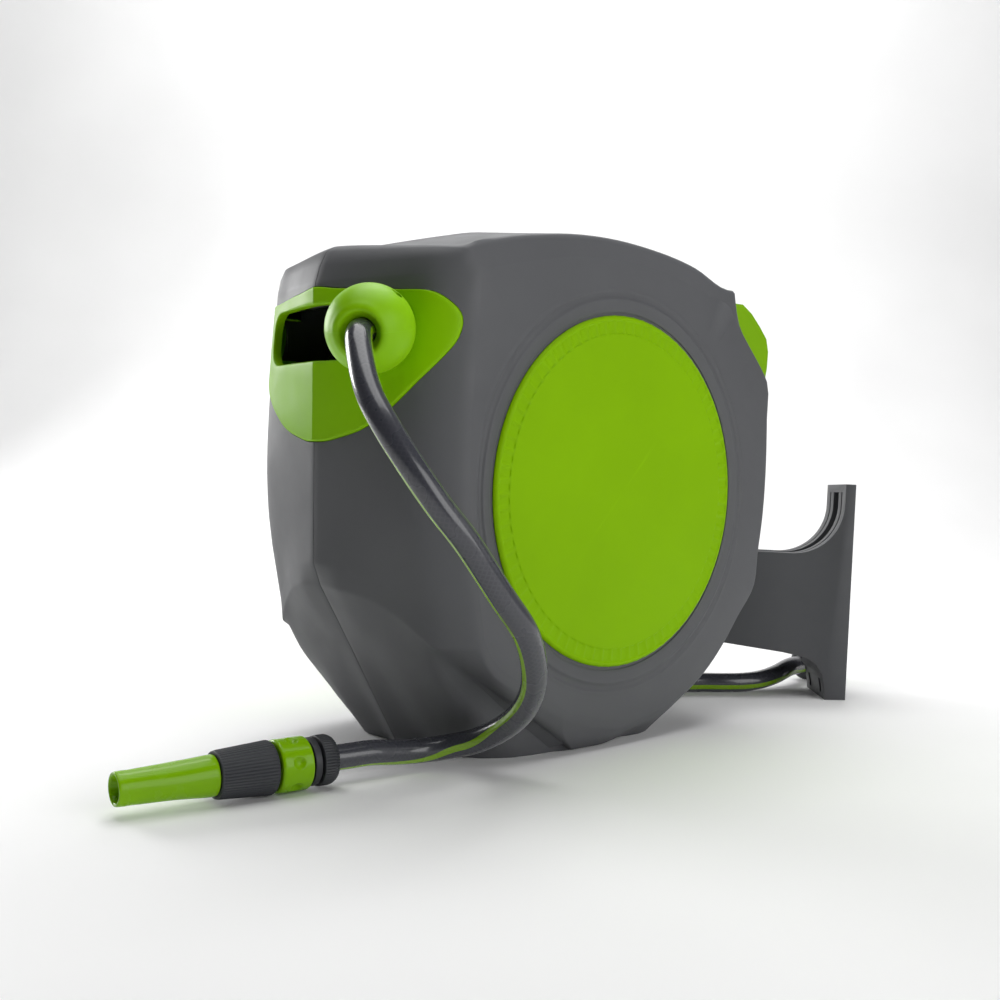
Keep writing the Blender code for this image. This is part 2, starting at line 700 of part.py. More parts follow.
def spiral_data():
    """Flat mainspring strip, loose turns between the arbor and the cup."""
    turns = 5
    per = 12
    r0 = 0.0098
    r1 = BARREL_R - 0.0040
    thick = 0.0009
    verts = []
    n = turns * per
    for k in range(n + 1):
        a = 2 * pi * k / per
        r = r0 + (r1 - r0) * k / n
        for rr, y in ((r, -0.079), (r + thick, -0.079), (r + thick, -0.036), (r, -0.036)):
            verts.append(Vector((rr * cos(a), y, AXIS_Z + rr * sin(a))))
    faces = [(0, 1, 2, 3), tuple(n * 4 + i for i in range(4))]
    for k in range(n):
        for i in range(4):
            j = (i + 1) % 4
            a = k * 4
            faces.append((a + i, a + j, a + 4 + j, a + 4 + i))
    return verts, faces


def ratchet_data():
    """Saw-toothed ring, turned by part of a tooth so that a gap faces the resting pawl."""
    outer = []
    for k in range(RATCHET_TEETH):
        step = 2 * pi / RATCHET_TEETH
        a0 = (k + TOOTH_TURN) * step
        outer.append((a0, RATCHET_R))
        outer.append((a0 + 0.04, RATCHET_R - 0.0052))
        outer.append((a0 + step * 0.6, RATCHET_R - 0.0020))
    verts = []
    n = len(outer)
    for r_scale, y in ((1, -0.0853), (1, -0.0893), (0, -0.0893), (0, -0.0853)):
        for a, r in outer:
            rr = r if r_scale else RING_BORE
            verts.append(Vector((rr * cos(a), y, AXIS_Z + rr * sin(a))))
    faces = []
    for ring in range(4):
        other = (ring + 1) % 4
        for i in range(n):
            j = (i + 1) % n
            faces.append((ring * n + i, ring * n + j, other * n + j, other * n + i))
    return verts, faces


PAWL_AT = radians(124.33)
PAWL_REACH = RATCHET_R + 0.0193
PAWL_PIVOT = (PAWL_REACH * cos(PAWL_AT), AXIS_Z + PAWL_REACH * sin(PAWL_AT))


def pawl(parent):
    x, z = PAWL_PIVOT
    node = empty("pawl_axis", (x, -0.0875, z), parent)
    out = Vector((x, z - AXIS_Z)).normalized()
    along = Vector((-out.y, out.x))
    shape = []
    for u, v in ((-0.006, 0.0), (-0.0045, 0.0045), (0.0, 0.006), (0.006, 0.0045), (0.0245, -0.0185),
                 (0.0215, -0.0217), (0.0, -0.006), (-0.0045, -0.0045)):
        p = Vector((x, z)) + along * u + out * v
        shape.append((p.x, p.y))
    body = make("pawl", *prism_data(shape, xz, -0.0892, -0.0858), dark(), node)
    bore = rod_data(0.0028, -0.095, -0.080, (x, 0, z), (0, 1, 0), 20)
    boolean(body, make("pawl_bore", *bore, dark(), node, smooth=False))
    pin = turned_data([(0.0025, 0.0858), (0.0025, 0.0945), (0.0040, 0.0950), (0.0040, 0.1037)], (x, 0, z), (0, -1, 0), 20)
    make("pawl_pin", *pin, steel(), parent)
    points = []
    for k in range(31):
        a = 2 * pi * k / 10
        points.append(Vector((x + 0.0040 * cos(a), -0.0899 - 0.00110 * k / 10, z + 0.0040 * sin(a))))
    tube("pawl_spring", points, 0.00042, steel(), parent, 0)


def axle_parts(parent):
    arbor = [(0.0080, -0.004), (0.0080, 0.1015), (0.0147, 0.1015), (0.0147, 0.1058)]
    make("spring_arbor", *turned_data(arbor, on_axis(), (0, -1, 0), 20), steel(), parent)
    axle = [(0.0050, 0.012), (0.0100, 0.012), (0.0100, 0.1015), (0.0147, 0.1015), (0.0147, 0.1058),
            (0.0100, 0.1058), (0.0100, 0.1220), (0.0050, 0.1220)]
    make("inlet_axle", *lathe_data(axle, on_axis(), (0, 1, 0), 20), material("brass", BRASS, 0.35, 1.0), parent)
    rubber = material("rubber", DARK, 0.7)
    for name, y in (("o_ring_inner", 0.0160), ("o_ring_outer", 0.0230)):
        loop = [(0.0120 + 0.0016 * cos(a), y + 0.0016 * sin(a)) for a in [2 * pi * k / 6 for k in range(6)]]
        make(name, *lathe_data(loop, on_axis(), (0, 1, 0), 20), rubber, parent)
    nut = [(0.0104, 0.1115), (0.0160, 0.1115), (0.0160, 0.1212), (0.0104, 0.1212)]
    make("union_nut", *lathe_data(nut, on_axis(), (0, 1, 0), 12), dark(), parent)
    elbow()


ELBOW_Y = 0.134


def elbow():
    body = turned_data([(0.0150, 0.1224), (0.0150, 0.1250), (0.0115, 0.1255), (0.0115, ELBOW_Y + 0.0105)],
                       on_axis(), (0, 1, 0), 14)
    obj = make("inlet_elbow", *body, dark(), CASE)
    leg = turned_data([(0.0110, -0.009), (0.0110, 0.0240), (0.0112, 0.0242), (0.0112, 0.0300)],
                      (0, ELBOW_Y, AXIS_Z), (0, 0, -1), 14)
    boolean(obj, make("elbow_leg", *leg, dark(), CASE, smooth=False), "UNION")
    bore = rod_data(0.0050, 0.110, ELBOW_Y, on_axis(), (0, 1, 0), 12)
    boolean(obj, make("elbow_bore", *bore, dark(), CASE, smooth=False))
    down = rod_data(0.0049, 0.0, 0.040, (0, ELBOW_Y, AXIS_Z), (0, 0, -1), 12)
    boolean(obj, make("elbow_bore_down", *down, dark(), CASE, smooth=False))
    return obj


def winding_points():
    """The outer layer of hose; its last diameter runs straight to meet the free stretch."""
    turns = abs(WIND_TO - WIND_FROM) / WIND_PITCH
    end = radians(WIND_END_DEG)
    count = round(turns * 24)
    out = []
    for k in range(count + 1):
        s = k / count
        a = end - 2 * pi * turns * (1 - s)
        y = WIND_FROM + (WIND_TO - WIND_FROM) * s
        out.append(Vector((WIND_R * cos(a), y, AXIS_Z + WIND_R * sin(a))))
    at, way = lead_start()
    out.append(at + way * 0.0170)
    return out


def lead_start():
    a = radians(WIND_END_DEG)
    at = Vector((WIND_R * cos(a), WIND_TO, AXIS_Z + WIND_R * sin(a)))
    return at, Vector((-sin(a), -0.0195, cos(a))).normalized()


LEAD_BEND = [(-0.1043, -0.0140, 0.3096), (-0.1158, -0.0154, 0.3062), (-0.1270, -0.0182, 0.3038), (-0.1375, -0.0228, 0.3025),
             (-0.1480, -0.0292, 0.3020), (-0.1650, -0.0418, 0.3020), (-0.1830, -0.0551, 0.3020), (-0.1965, -0.0652, 0.3003),
             (-0.2104, -0.0766, 0.2974)]
FREE_ROUTE = [(-242.3, -110.0, 270.5), (-247.5, -125.5, 251.0), (-246.8, -141.0, 232.0), (-238.9, -156.3, 207.6),
              (-226.8, -166.0, 185.6), (-212.7, -172.5, 166.7), (-185.7, -176.5, 131.5), (-163.8, -174.9, 107.6),
              (-147.3, -166.3, 84.2), (-136.4, -154.4, 65.3), (-129.2, -136.8, 47.2), (-126.9, -115.0, 32.2),
              (-131.0, -94.0, 21.5), (-143.0, -76.5, 15.9), (-160.0, -67.0, 14.3), (-178.0, -64.2, 15.6)]


def free_hose_points():
    at, way = lead_start()
    pts = [at + way * 0.0173, at + way * 0.0345]
    back = -BALL_AXIS
    pts += [Vector(p) for p in LEAD_BEND]
    pts += [BALL - back * 0.013, BALL - back * 0.026]
    pts += [Vector(p) / 1000 for p in FREE_ROUTE]
    pts += [NOZZLE_START - NOZZLE_AXIS * 0.020, NOZZLE_START - NOZZLE_AXIS * 0.003, NOZZLE_START + NOZZLE_AXIS * HOSE_END]
    return smooth_route(pts, 0.0150)


def stopper(parent):
    loop = []
    for k in range(10):
        a = radians(-70 + 132 * k / 9)
        loop.append((BALL_R * cos(a), BALL_R * sin(a)))
    loop = [p for p in loop if p[0] > 0.0095]
    loop = [(0.0122, -0.0264)] + [p for p in loop if -0.0255 < p[1] < 0.0242]
    loop += [(0.0150, 0.0251), (0.0125, 0.0215), (0.0090, 0.0190), (0.0090, 0.0130)]
    for name, start in (("stopper_top", 0.6), ("stopper_bottom", 180.6)):
        data = lathe_data(loop, BALL, BALL_AXIS, 14, 178.8, start)
        obj = make(name, *data, green(), parent, origin=BALL)
        x, y, z = frame_of(BALL_AXIS)
        for side in (-1, 1):
            deep = 0.0300
            at = BALL + x * side * 0.0185
            profile = [(0.0018, -0.014), (0.0018, 0.008), (0.0036, 0.008), (0.0036, deep)]
            data = turned_data(profile, at, y, 8)
            boolean(obj, make(f"{name}_bore_{side}", *data, green(), parent, smooth=False))
    x, y, z = frame_of(BALL_AXIS)
    for side, tag in ((-1, "near"), (1, "far")):
        at = BALL + x * side * 0.0185
        data = screw_data(at, y, 0.008, 0.0205, 0.0033, 0.0015)
        make(f"stopper_screw_{tag}", *data, steel(), parent, origin=at)


def connector(tag, start, axis, parent, mats):
    """Crimp nut, quick connector body and its sliding collar at a hose end."""
    nut = [(0.0090, 0.0095), (0.0120, 0.0095), (0.0150, 0.0110), (0.0164, 0.0140), (0.0164, 0.0220), (0.0090, 0.0220)]
    make(f"{tag}_nut", *lathe_data(nut, start, axis, 20), mats[0], parent, origin=start)
    body = [(0.0055, 0.0236), (0.0156, 0.0236), (0.0156, 0.0284), (0.0084, 0.0284), (0.0084, 0.0382), (0.0110, 0.0386),
            (0.0110, 0.0505), (0.0055, 0.0505)]
    make(f"{tag}_body", *lathe_data(body, start, axis, 20), mats[0], parent, origin=start)
    node = empty(f"{tag}_slide", start, parent)
    loop = [(0.0088, 0.0340), (0.0159, 0.0340), (0.0159, 0.0300), (0.0166, 0.0300), (0.01715, 0.0308), (0.01715, 0.0500),
            (0.0162, 0.0515), (0.0114, 0.0515), (0.0114, 0.0380), (0.0088, 0.0380)]
    return make(f"{tag}_collar", *lathe_data(loop, start, axis, 20), mats[1], node)


def nozzle(parent):
    s = NOZZLE_START
    axis = NOZZLE_AXIS
    connector("hose", s, axis, parent, (dark(), green()))
    stem = [(0.0035, 0.0380), (0.0051, 0.0380), (0.0051, 0.0520), (0.0120, 0.0525), (0.0120, 0.0905), (0.0068, 0.0908),
            (0.0068, 0.1100), (0.0035, 0.1100)]
    make("nozzle_stem", *lathe_data(stem, s, axis, 18), dark(), parent, origin=s)
    grip = [(0.0123, 0.0535), (0.0165, 0.0535), (0.0174, 0.0550), (0.0152, 0.0890), (0.0147, 0.0912), (0.0123, 0.0912)]
    make("nozzle_grip", *lathe_data(grip, s, axis, 20), dark(), parent, origin=s)
    node = empty("nozzle_twist", s + axis * 0.1225, parent)
    tip = [(0.0072, 0.0916), (0.0130, 0.0916), (0.0130, 0.0955), (0.0104, 0.1450), (0.0108, 0.1480), (0.0103, 0.1535),
           (0.0080, 0.1535), (0.0070, 0.1480), (0.0032, 0.1470), (0.0032, 0.1115), (0.0072, 0.1105)]
    make("nozzle_tip", *lathe_data(tip, s, axis, 20), green(), node)


def hinge_axis():
    tilt = radians(HINGE_TILT_DEG)
    return Vector((sin(tilt), 0.0, cos(tilt)))


def hinge_point(z=HINGE_Z):
    tilt = radians(HINGE_TILT_DEG)
    return Vector((HINGE_X + (z - HINGE_Z) * sin(tilt) / cos(tilt), 0.0, z))


def bracket_matrix():
    """From bracket coordinates (arm along +X, hinge on Z) to the world."""
    turn = Matrix.Rotation(radians(ARM_AZIMUTH_DEG), 4, "Z")
    tilt = Matrix.Rotation(radians(HINGE_TILT_DEG), 4, "Y")
    lift = Matrix.Translation((0, 0, -HINGE_Z))
    return Matrix.Translation(hinge_point()) @ tilt @ turn @ lift


def in_bracket(data):
    m = bracket_matrix()
    return [m @ Vector(v) for v in data[0]], data[1]


def wall_bracket(parent):
    arc = [(0.084 + 0.045 * cos(radians(a)), 0.178 + 0.045 * sin(radians(a))) for a in range(0, -91, -10)]
    foot = [(0.000, 0.0530), (0.080, 0.0440), (0.100, 0.0405), (0.110, 0.0350), (0.1165, 0.0250), (0.1190, 0.0120),
            (0.1195, 0.0030)]
    side = foot + [(PLATE_BACK, 0.0030), (PLATE_BACK, 0.1970), (0.1290, 0.1970)] + arc + [(0.000, 0.1330)]
    body = make("wall_bracket", *in_bracket(prism_data(side, xz, -ARM_HALF, ARM_HALF)), dark(), parent)
    knuckle = rod_data(ARM_HALF - 0.0002, 0.0533, 0.1327, (0, 0, 0), (0, 0, 1), 28)
    boolean(body, make("bracket_knuckle", *in_bracket(knuckle), dark(), parent, smooth=False), "UNION")
    cuts = []
    for y0, y1, deep, start in ((-0.0085, 0.0085, 0.0050, 0.030), (-0.0205, -0.0175, 0.0016, 0.034),
                                (0.0175, 0.0205, 0.0016, 0.034)):
        low = [(0.084 + (0.045 + deep) * cos(radians(a)), 0.178 + (0.045 + deep) * sin(radians(a)))
               for a in range(0, -91, -10)]
        high = [(0.084 + 0.038 * cos(radians(a)), 0.178 + 0.038 * sin(radians(a))) for a in range(-90, 1, 10)]
        groove = [(0.129 + deep, 0.1900)] + low + [(start, 0.133 - deep), (start, 0.140)] + high + [(0.122, 0.1900)]
        cuts.append(prism_data(groove, xz, y0, y1))
    cuts.append(box_data((0.100, -0.0028, 0.1780), (0.150, 0.0028, 0.1880)))
    boolean(body, make("bracket_grooves", *in_bracket(joined(*cuts[:3])), dark(), parent, smooth=False))
    slots = [cuts[3]]
    for y in (-0.018, 0.018):
        slots.append(box_data((0.100, y - 0.0028, 0.0090), (0.150, y + 0.0028, 0.0210)))
    hollow = [(0.018, 0.0440), (0.018, 0.0600), (0.100, 0.0520), (0.112, 0.0460), (0.112, 0.0300)]
    slots.append(prism_data(hollow, xz, -0.026, 0.026))
    boolean(body, make("bracket_slots", *in_bracket(joined(*slots)), dark(), parent, smooth=False))
    bore = rod_data(0.0053, 0.030, 0.150, (0, 0, 0), (0, 0, 1), 24)
    boolean(body, make("bracket_bore", *in_bracket(bore), dark(), parent, smooth=False))
    return body


def hinge_block(parent):
    """Hinge lugs on the case's rear, above and below the bracket's knuckle."""
    rear = [(0.1826, 0.1560), (0.1790, 0.1372), (0.1750, 0.1110), (0.1528, 0.0857), (0.1348, 0.0657), (0.1290, 0.0600)]
    spine = rear + [(0.1290, 0.0380), (0.1350, 0.0340), (0.1862, 0.0340), (0.1862, 0.1560)]
    block = make("hinge_block", *prism_data(spine, xz, -0.0200, 0.0200), case_grey(), parent)
    for name, lo, hi in (("upper", 0.1370, 0.1480), ("lower", 0.0340, 0.0480)):
        at = hinge_point((lo + hi) / 2)
        lug = []
        for k in range(19):
            a = radians(-90 + 10 * k)
            lug.append((at.x + 0.0180 * cos(a), 0.0180 * sin(a)))
        lug += [(0.1845, 0.0180), (0.1845, -0.0180)]

        def flat(u, v, w):
            return Vector((u, v, w))

        data = prism_data(lug, flat, lo + 0.0002, hi - 0.0002)
        boolean(block, make(f"hinge_lug_{name}", *data, case_grey(), parent, smooth=False), "UNION")
    bore = rod_data(0.0053, -0.080, 0.080, hinge_point(), hinge_axis(), 24)
    boolean(block, make("hinge_bore", *bore, case_grey(), parent, smooth=False))
    return block


def hinge_pin(parent):
    profile = [(0.0050, -0.0600), (0.0050, 0.0595), (0.0090, 0.0600), (0.0095, 0.0625), (0.0070, 0.0650)]
    make("hinge_pin", *turned_data(profile, hinge_point(), hinge_axis(), 18), steel(), parent)
    clip = [(0.0053, -0.0595), (0.0085, -0.0595), (0.0085, -0.0580), (0.0053, -0.0580)]
    make("hinge_clip", *lathe_data(clip, hinge_point(), hinge_axis(), 16), steel(), parent)


def supply_points():
    """From the inlet elbow down to a neat coil on the ground, then to the point under the hinge."""
    cx, cy = COIL_CENTRE
    pts = [(0, ELBOW_Y, 0.1585), (0, ELBOW_Y, 0.1400), (0.0008, ELBOW_Y + 0.0002, 0.1100), (0.0100, ELBOW_Y + 0.0010, 0.0740),
           (0.0330, ELBOW_Y + 0.0040, 0.0500), (0.0650, ELBOW_Y + 0.0175, 0.0440)]
    drop = len(pts)
    turn = 630
    for a in range(0, turn + 1, 15):
        left = (turn - a) / 360
        phi = radians(270 + a)
        pts.append((cx + COIL_R * cos(phi), cy + COIL_R * sin(phi), 0.0086 + COIL_PITCH * left))
    tail = [(0.0302, 0.2300), (0.0345, 0.2060), (0.0425, 0.1830), (0.0530, 0.1600), (0.0645, 0.1380), (0.0765, 0.1170),
            (0.0880, 0.0980), (0.1060, 0.0730), (0.1290, 0.0510), (0.1570, 0.0350), (0.1840, 0.0225), (0.2038, 0.0104)]
    pts += [(x, y, 0.0086) for x, y in tail]
    end = hinge_point(0.0086)
    way = Vector((0.8, -0.6, 0.0))
    pts.append(tuple(end - way * 0.00015))
    head = smooth_route([Vector(p) for p in pts[:drop + 1]], 0.017)
    coil = [Vector(p) for p in pts[drop:drop + turn // 15 + 1]]
    run = smooth_route([coil[-1]] + [Vector(p) for p in pts[drop + turn // 15 + 1:]], 0.017)
    return head + coil[1:] + run[1:]


SUPPLY_END = Vector((0.3380, -0.0412, 0.0176))
SUPPLY_AXIS = Vector((0.995, 0.100, 0.0)).normalized()


def supply_end_points():
    end = hinge_point(0.0086)
    way = Vector((0.8, -0.6, 0.0))
    pts = [end + way * 0.00015, end + way * 0.017]
    pts += [Vector(p) for p in ((0.2450, -0.0225, 0.0086), (0.2590, -0.0325, 0.0087), (0.2760, -0.0395, 0.0098),
                                (0.2960, -0.0430, 0.0130))]
    pts += [SUPPLY_END - SUPPLY_AXIS * 0.020, SUPPLY_END - SUPPLY_AXIS * 0.002, SUPPLY_END + SUPPLY_AXIS * HOSE_END]
    return smooth_route(pts, 0.0150)


def least_gap(points, radius):
    """Least clear distance between stretches of one tube that aren't neighbours."""
    p = np.array([list(v) for v in points])
    dense = np.concatenate([p[:-1] + (p[1:] - p[:-1]) * s for s in (0, 0.25, 0.5, 0.75)])
    order = np.argsort(np.concatenate([np.arange(len(p) - 1) + s for s in (0, 0.25, 0.5, 0.75)]))
    dense = dense[order]
    run = np.concatenate([[0], np.cumsum(np.linalg.norm(np.diff(dense, axis=0), axis=1))])
    dist = np.linalg.norm(dense[:, None] - dense[None], axis=2)
    far = np.abs(run[:, None] - run[None]) > radius * 6
    return float(dist[far].min() - 2 * radius)


CASE = empty("case", (0, 0, 0))
shell(-1, "left_shell", CASE)
shell(1, "right_shell", CASE)
disc_cover(-1, "disc_cover_left", CASE)
disc_cover(1, "disc_cover_right", CASE)
fairlead_plate(CASE)
roller_pin("roller_pin_lower", LOWER_ROLLER, CASE)
roller_pin("roller_pin_upper", UPPER_ROLLER, CASE)
guide_roller("guide_roller_lower", LOWER_ROLLER, CASE)
guide_roller("guide_roller_upper", UPPER_ROLLER, CASE)
case_screws(CASE)
carry_handle(CASE)
handle_screws(CASE)
axle_parts(CASE)
DRUM = empty("drum", on_axis(), CASE)
drum_parts(DRUM)
pawl(CASE)
HOSE = empty("free_end", BALL, CASE)
tube("free_hose", free_hose_points(), HOSE_R, hose_mat(), HOSE, 2)
stopper(HOSE)
nozzle(HOSE)
hinge_block(CASE)
hinge_pin(CASE)
SUPPLY = supply_points()
tube("supply_hose", SUPPLY, HOSE_R, hose_mat(), CASE, 1)
BRACKET = empty("bracket", hinge_point(), CASE)
wall_bracket(BRACKET)
tube("supply_hose_end", supply_end_points(), HOSE_R, hose_mat(), BRACKET, 2)
connector("supply", SUPPLY_END, SUPPLY_AXIS, BRACKET, (dark(), green()))

print("supply hose least gap, mm", round(least_gap(SUPPLY, HOSE_R) * 1000, 2), "points", len(SUPPLY))
print("winding least gap, mm", round(least_gap(winding_points(), HOSE_R) * 1000, 2))
print("free hose least gap, mm", round(least_gap(free_hose_points(), HOSE_R) * 1000, 2), "points", len(free_hose_points()))
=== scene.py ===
"""Looks of the retractable hose reel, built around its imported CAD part.

Lengths are metres, and the tables of the case's outline are millimetres.
"""
from math import atan2, cos, exp, pi, radians, sin, sqrt

import bmesh
import bpy
import numpy as np
from mathutils import Matrix, Vector


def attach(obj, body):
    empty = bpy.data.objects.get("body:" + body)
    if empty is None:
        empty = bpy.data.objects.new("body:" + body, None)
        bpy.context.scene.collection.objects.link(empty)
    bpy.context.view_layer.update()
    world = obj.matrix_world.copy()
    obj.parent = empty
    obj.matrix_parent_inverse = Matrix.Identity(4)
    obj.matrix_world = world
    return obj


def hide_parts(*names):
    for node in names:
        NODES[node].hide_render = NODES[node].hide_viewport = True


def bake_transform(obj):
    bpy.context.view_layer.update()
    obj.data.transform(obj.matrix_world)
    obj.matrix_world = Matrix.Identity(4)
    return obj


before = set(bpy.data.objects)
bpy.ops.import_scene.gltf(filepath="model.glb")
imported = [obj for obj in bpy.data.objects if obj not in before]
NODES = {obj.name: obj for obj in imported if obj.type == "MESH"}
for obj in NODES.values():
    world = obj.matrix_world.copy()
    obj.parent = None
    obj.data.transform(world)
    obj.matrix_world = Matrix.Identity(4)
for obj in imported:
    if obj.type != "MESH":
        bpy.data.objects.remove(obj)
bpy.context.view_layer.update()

# Driving dimensions, as in the CAD part
AXIS_Z = 0.190
HOSE_R = 0.0085
WIND_R = 0.145
WIND_PITCH = 0.0178
WIND_FROM = 0.0712
WIND_TO = -0.0127
WIND_END_DEG = 107.9
BALL = Vector((-0.2104, -0.0766, 0.2964))
BALL_R = 0.02925
BALL_AXIS = Vector((-0.786, -0.584, -0.205)).normalized()
NOZZLE_START = Vector((-0.215, -0.0595, 0.0176))
NOZZLE_AXIS = Vector((-0.152, 0.021, 0.0)).normalized()
HOSE_END = 0.0205
SUPPLY_END = Vector((0.3380, -0.0412, 0.0176))
SUPPLY_AXIS = Vector((0.995, 0.100, 0.0)).normalized()
HINGE_X = 0.222
HINGE_Z = 0.090
ARM_HALF = 0.032
PLATE_BACK = 0.138
COIL_R = 0.086
COIL_CENTRE = (0.115, 0.168 + COIL_R)
COIL_PITCH = 0.0183
COIL_DEG = 630
LIE_Z = 0.0086
ELBOW_Y = 0.134

# Camera at the photograph's place
TURN, DIP, ROLL = radians(46.49), radians(2.30), radians(0.80)
CAMERA_AT = Vector((-0.7245, -0.7411, 0.2213))
LOOK = Vector((cos(DIP) * cos(TURN), cos(DIP) * sin(TURN), -sin(DIP)))
FLAT_RIGHT = Vector((sin(TURN), -cos(TURN), 0.0))
FLAT_UP = FLAT_RIGHT.cross(LOOK)
RIGHT = FLAT_RIGHT * cos(ROLL) + FLAT_UP * sin(ROLL)
UP = FLAT_UP * cos(ROLL) - FLAT_RIGHT * sin(ROLL)
camera_data = bpy.data.cameras.new("camera")
camera_data.sensor_width = 36.0
camera_data.lens = 46.8
camera_data.clip_start = 0.01
camera = bpy.data.objects.new("camera", camera_data)
bpy.context.scene.collection.objects.link(camera)
camera.matrix_world = Matrix(((RIGHT.x, UP.x, -LOOK.x, CAMERA_AT.x), (RIGHT.y, UP.y, -LOOK.y, CAMERA_AT.y),
                              (RIGHT.z, UP.z, -LOOK.z, CAMERA_AT.z), (0, 0, 0, 1)))
bpy.context.scene.camera = camera
bpy.context.scene.view_settings.view_transform = "Standard"


def srgb(r, g, b):
    """A linear colour from channels of 0 to 255."""
    return tuple(((c / 255 + 0.055) / 1.055) ** 2.4 if c > 10 else c / 255 / 12.92
                 for c in (r, g, b)) + (1.0,)


def shade(colour, factor, lift=0.0):
    return tuple(min(1.0, c * factor + lift) for c in colour[:3]) + (1.0,)


# Materials
class Mat:
    """A node material on one Principled shader, with its pattern nodes added one at a time."""

    def __init__(self, name, rough=0.5, metal=0.0, **sockets):
        self.mat = bpy.data.materials.new(name)
        self.mat.use_nodes = True
        self.tree = self.mat.node_tree
        self.shader = self.tree.nodes["Principled BSDF"]
        self.shader.inputs["Roughness"].default_value = rough
        self.shader.inputs["Metallic"].default_value = metal
        for key, value in sockets.items():
            self.shader.inputs[key.replace("_", " ")].default_value = value
        self.where = self.node("ShaderNodeTexCoord").outputs["Object"]

    def node(self, kind, **inputs):
        made = self.tree.nodes.new(kind)
        for key, value in inputs.items():
            self.put(made, key, value)
        return made

    def put(self, node, key, value):
        sockets = [s for s in node.inputs if s.name == key and s.enabled]
        if hasattr(value, "links"):
            self.tree.links.new(value, sockets[0])
        else:
            sockets[0].default_value = value

    def noise(self, scale, detail=2.0, stretch=None):
        where = self.where
        if stretch:
            where = self.node("ShaderNodeMapping", Vector=where, Scale=stretch).outputs[0]
        return self.node("ShaderNodeTexNoise", Vector=where, Scale=scale, Detail=detail).outputs["Fac"]

    def ramp(self, fac, low, high, a=0.0, b=1.0):
        made = self.node("ShaderNodeMapRange", Value=fac)
        for key, value in (("From Min", low), ("From Max", high), ("To Min", a), ("To Max", b)):
            made.inputs[key].default_value = value
        return made.outputs["Result"]

    def mix(self, fac, a, b):
        made = self.tree.nodes.new("ShaderNodeMix")
        made.data_type = "RGBA"
        self.put(made, "Factor", fac)
        self.put(made, "A", a)
        self.put(made, "B", b)
        return [s for s in made.outputs if s.enabled][0]

    def maths(self, how, a, b=0.0):
        made = self.tree.nodes.new("ShaderNodeMath")
        made.operation = how
        for socket, value in zip(made.inputs, (a, b)):
            if hasattr(value, "links"):
                self.tree.links.new(value, socket)
            else:
                socket.default_value = value
        return made.outputs[0]

    def edges(self):
        return self.ramp(self.node("ShaderNodeNewGeometry").outputs["Pointiness"], 0.52, 0.60)

    def bump(self, height, strength, distance):
        made = self.node("ShaderNodeBump", Height=height, Strength=strength, Distance=distance)
        before = self.shader.inputs["Normal"]
        if before.is_linked:
            self.tree.links.new(before.links[0].from_socket, made.inputs["Normal"])
        self.tree.links.new(made.outputs[0], before)

    def colour(self, socket):
        self.put(self.shader, "Base Color", socket)

    def rough(self, socket):
        self.put(self.shader, "Roughness", socket)


def moulded(name, base, rough, grain=2600.0, depth=0.00006, spread=0.06, wear=0.10, **sockets):
    """Moulded plastic: fine spark-eroded grain, slow shade changes, dust in the tone and paler worn edges."""
    m = Mat(name, rough, **sockets)
    worn = shade(base, 1 + 3 * wear, 0.02 * wear)
    slow = m.ramp(m.noise(9.0, 3.0), 0.35, 0.65)
    tone = m.mix(slow, shade(base, 1 - spread), shade(base, 1 + spread))
    fleck = m.ramp(m.noise(1500.0, 1.0), 0.62, 0.70, 0.0, 0.10)
    tone = m.mix(fleck, tone, worn)
    rubbed = m.maths("MULTIPLY", m.edges(), m.ramp(m.noise(60.0, 3.0), 0.35, 0.65, 0.3, 0.9))
    m.colour(m.mix(rubbed, tone, worn))
    m.rough(m.ramp(m.noise(35.0, 4.0), 0.3, 0.7, rough - 0.05, rough + 0.06))
    m.bump(m.noise(grain, 2.0), 0.5, depth)
    return m.mat


CASE_MAT = moulded("case_grey", srgb(86, 87, 90), 0.56, spread=0.04)
DISC_MAT = moulded("disc_green", srgb(136, 188, 0), 0.46, depth=0.00003, spread=0.03, wear=0.02,
                   Specular_IOR_Level=0.07)
PLATE_MAT = moulded("plate_green", srgb(134, 190, 0), 0.44, depth=0.00004, spread=0.04, wear=0.03,
                    Specular_IOR_Level=0.10)
BALL_MAT = moulded("ball_green", srgb(137, 195, 6), 0.40, grain=900.0, depth=0.00004, spread=0.05, wear=0.05,
                   Specular_IOR_Level=0.20)
HANDLE_MAT = moulded("handle_green", srgb(128, 180, 2), 0.42, depth=0.00004, spread=0.04, wear=0.05,
                     Specular_IOR_Level=0.15)
NOZZLE_MAT = moulded("nozzle_green", srgb(124, 175, 0), 0.26, depth=0.00001, spread=0.04, wear=0.03,
                     Specular_IOR_Level=0.15, Coat_Weight=0.14, Coat_Roughness=0.08)
BRACKET_MAT = moulded("bracket_grey", srgb(72, 73, 76), 0.58, spread=0.05)
DARK_MAT = moulded("dark_plastic", srgb(40, 42, 46), 0.50, spread=0.10, wear=0.15)
GRIP_MAT = moulded("grip_rubber", srgb(46, 48, 53), 0.60, grain=3000.0, spread=0.08, wear=0.12)
INNER_MAT = moulded("inner_plastic", srgb(46, 47, 50), 0.50, spread=0.10, wear=0.10)
RUBBER_MAT = moulded("rubber", srgb(24, 24, 25), 0.72, spread=0.12)


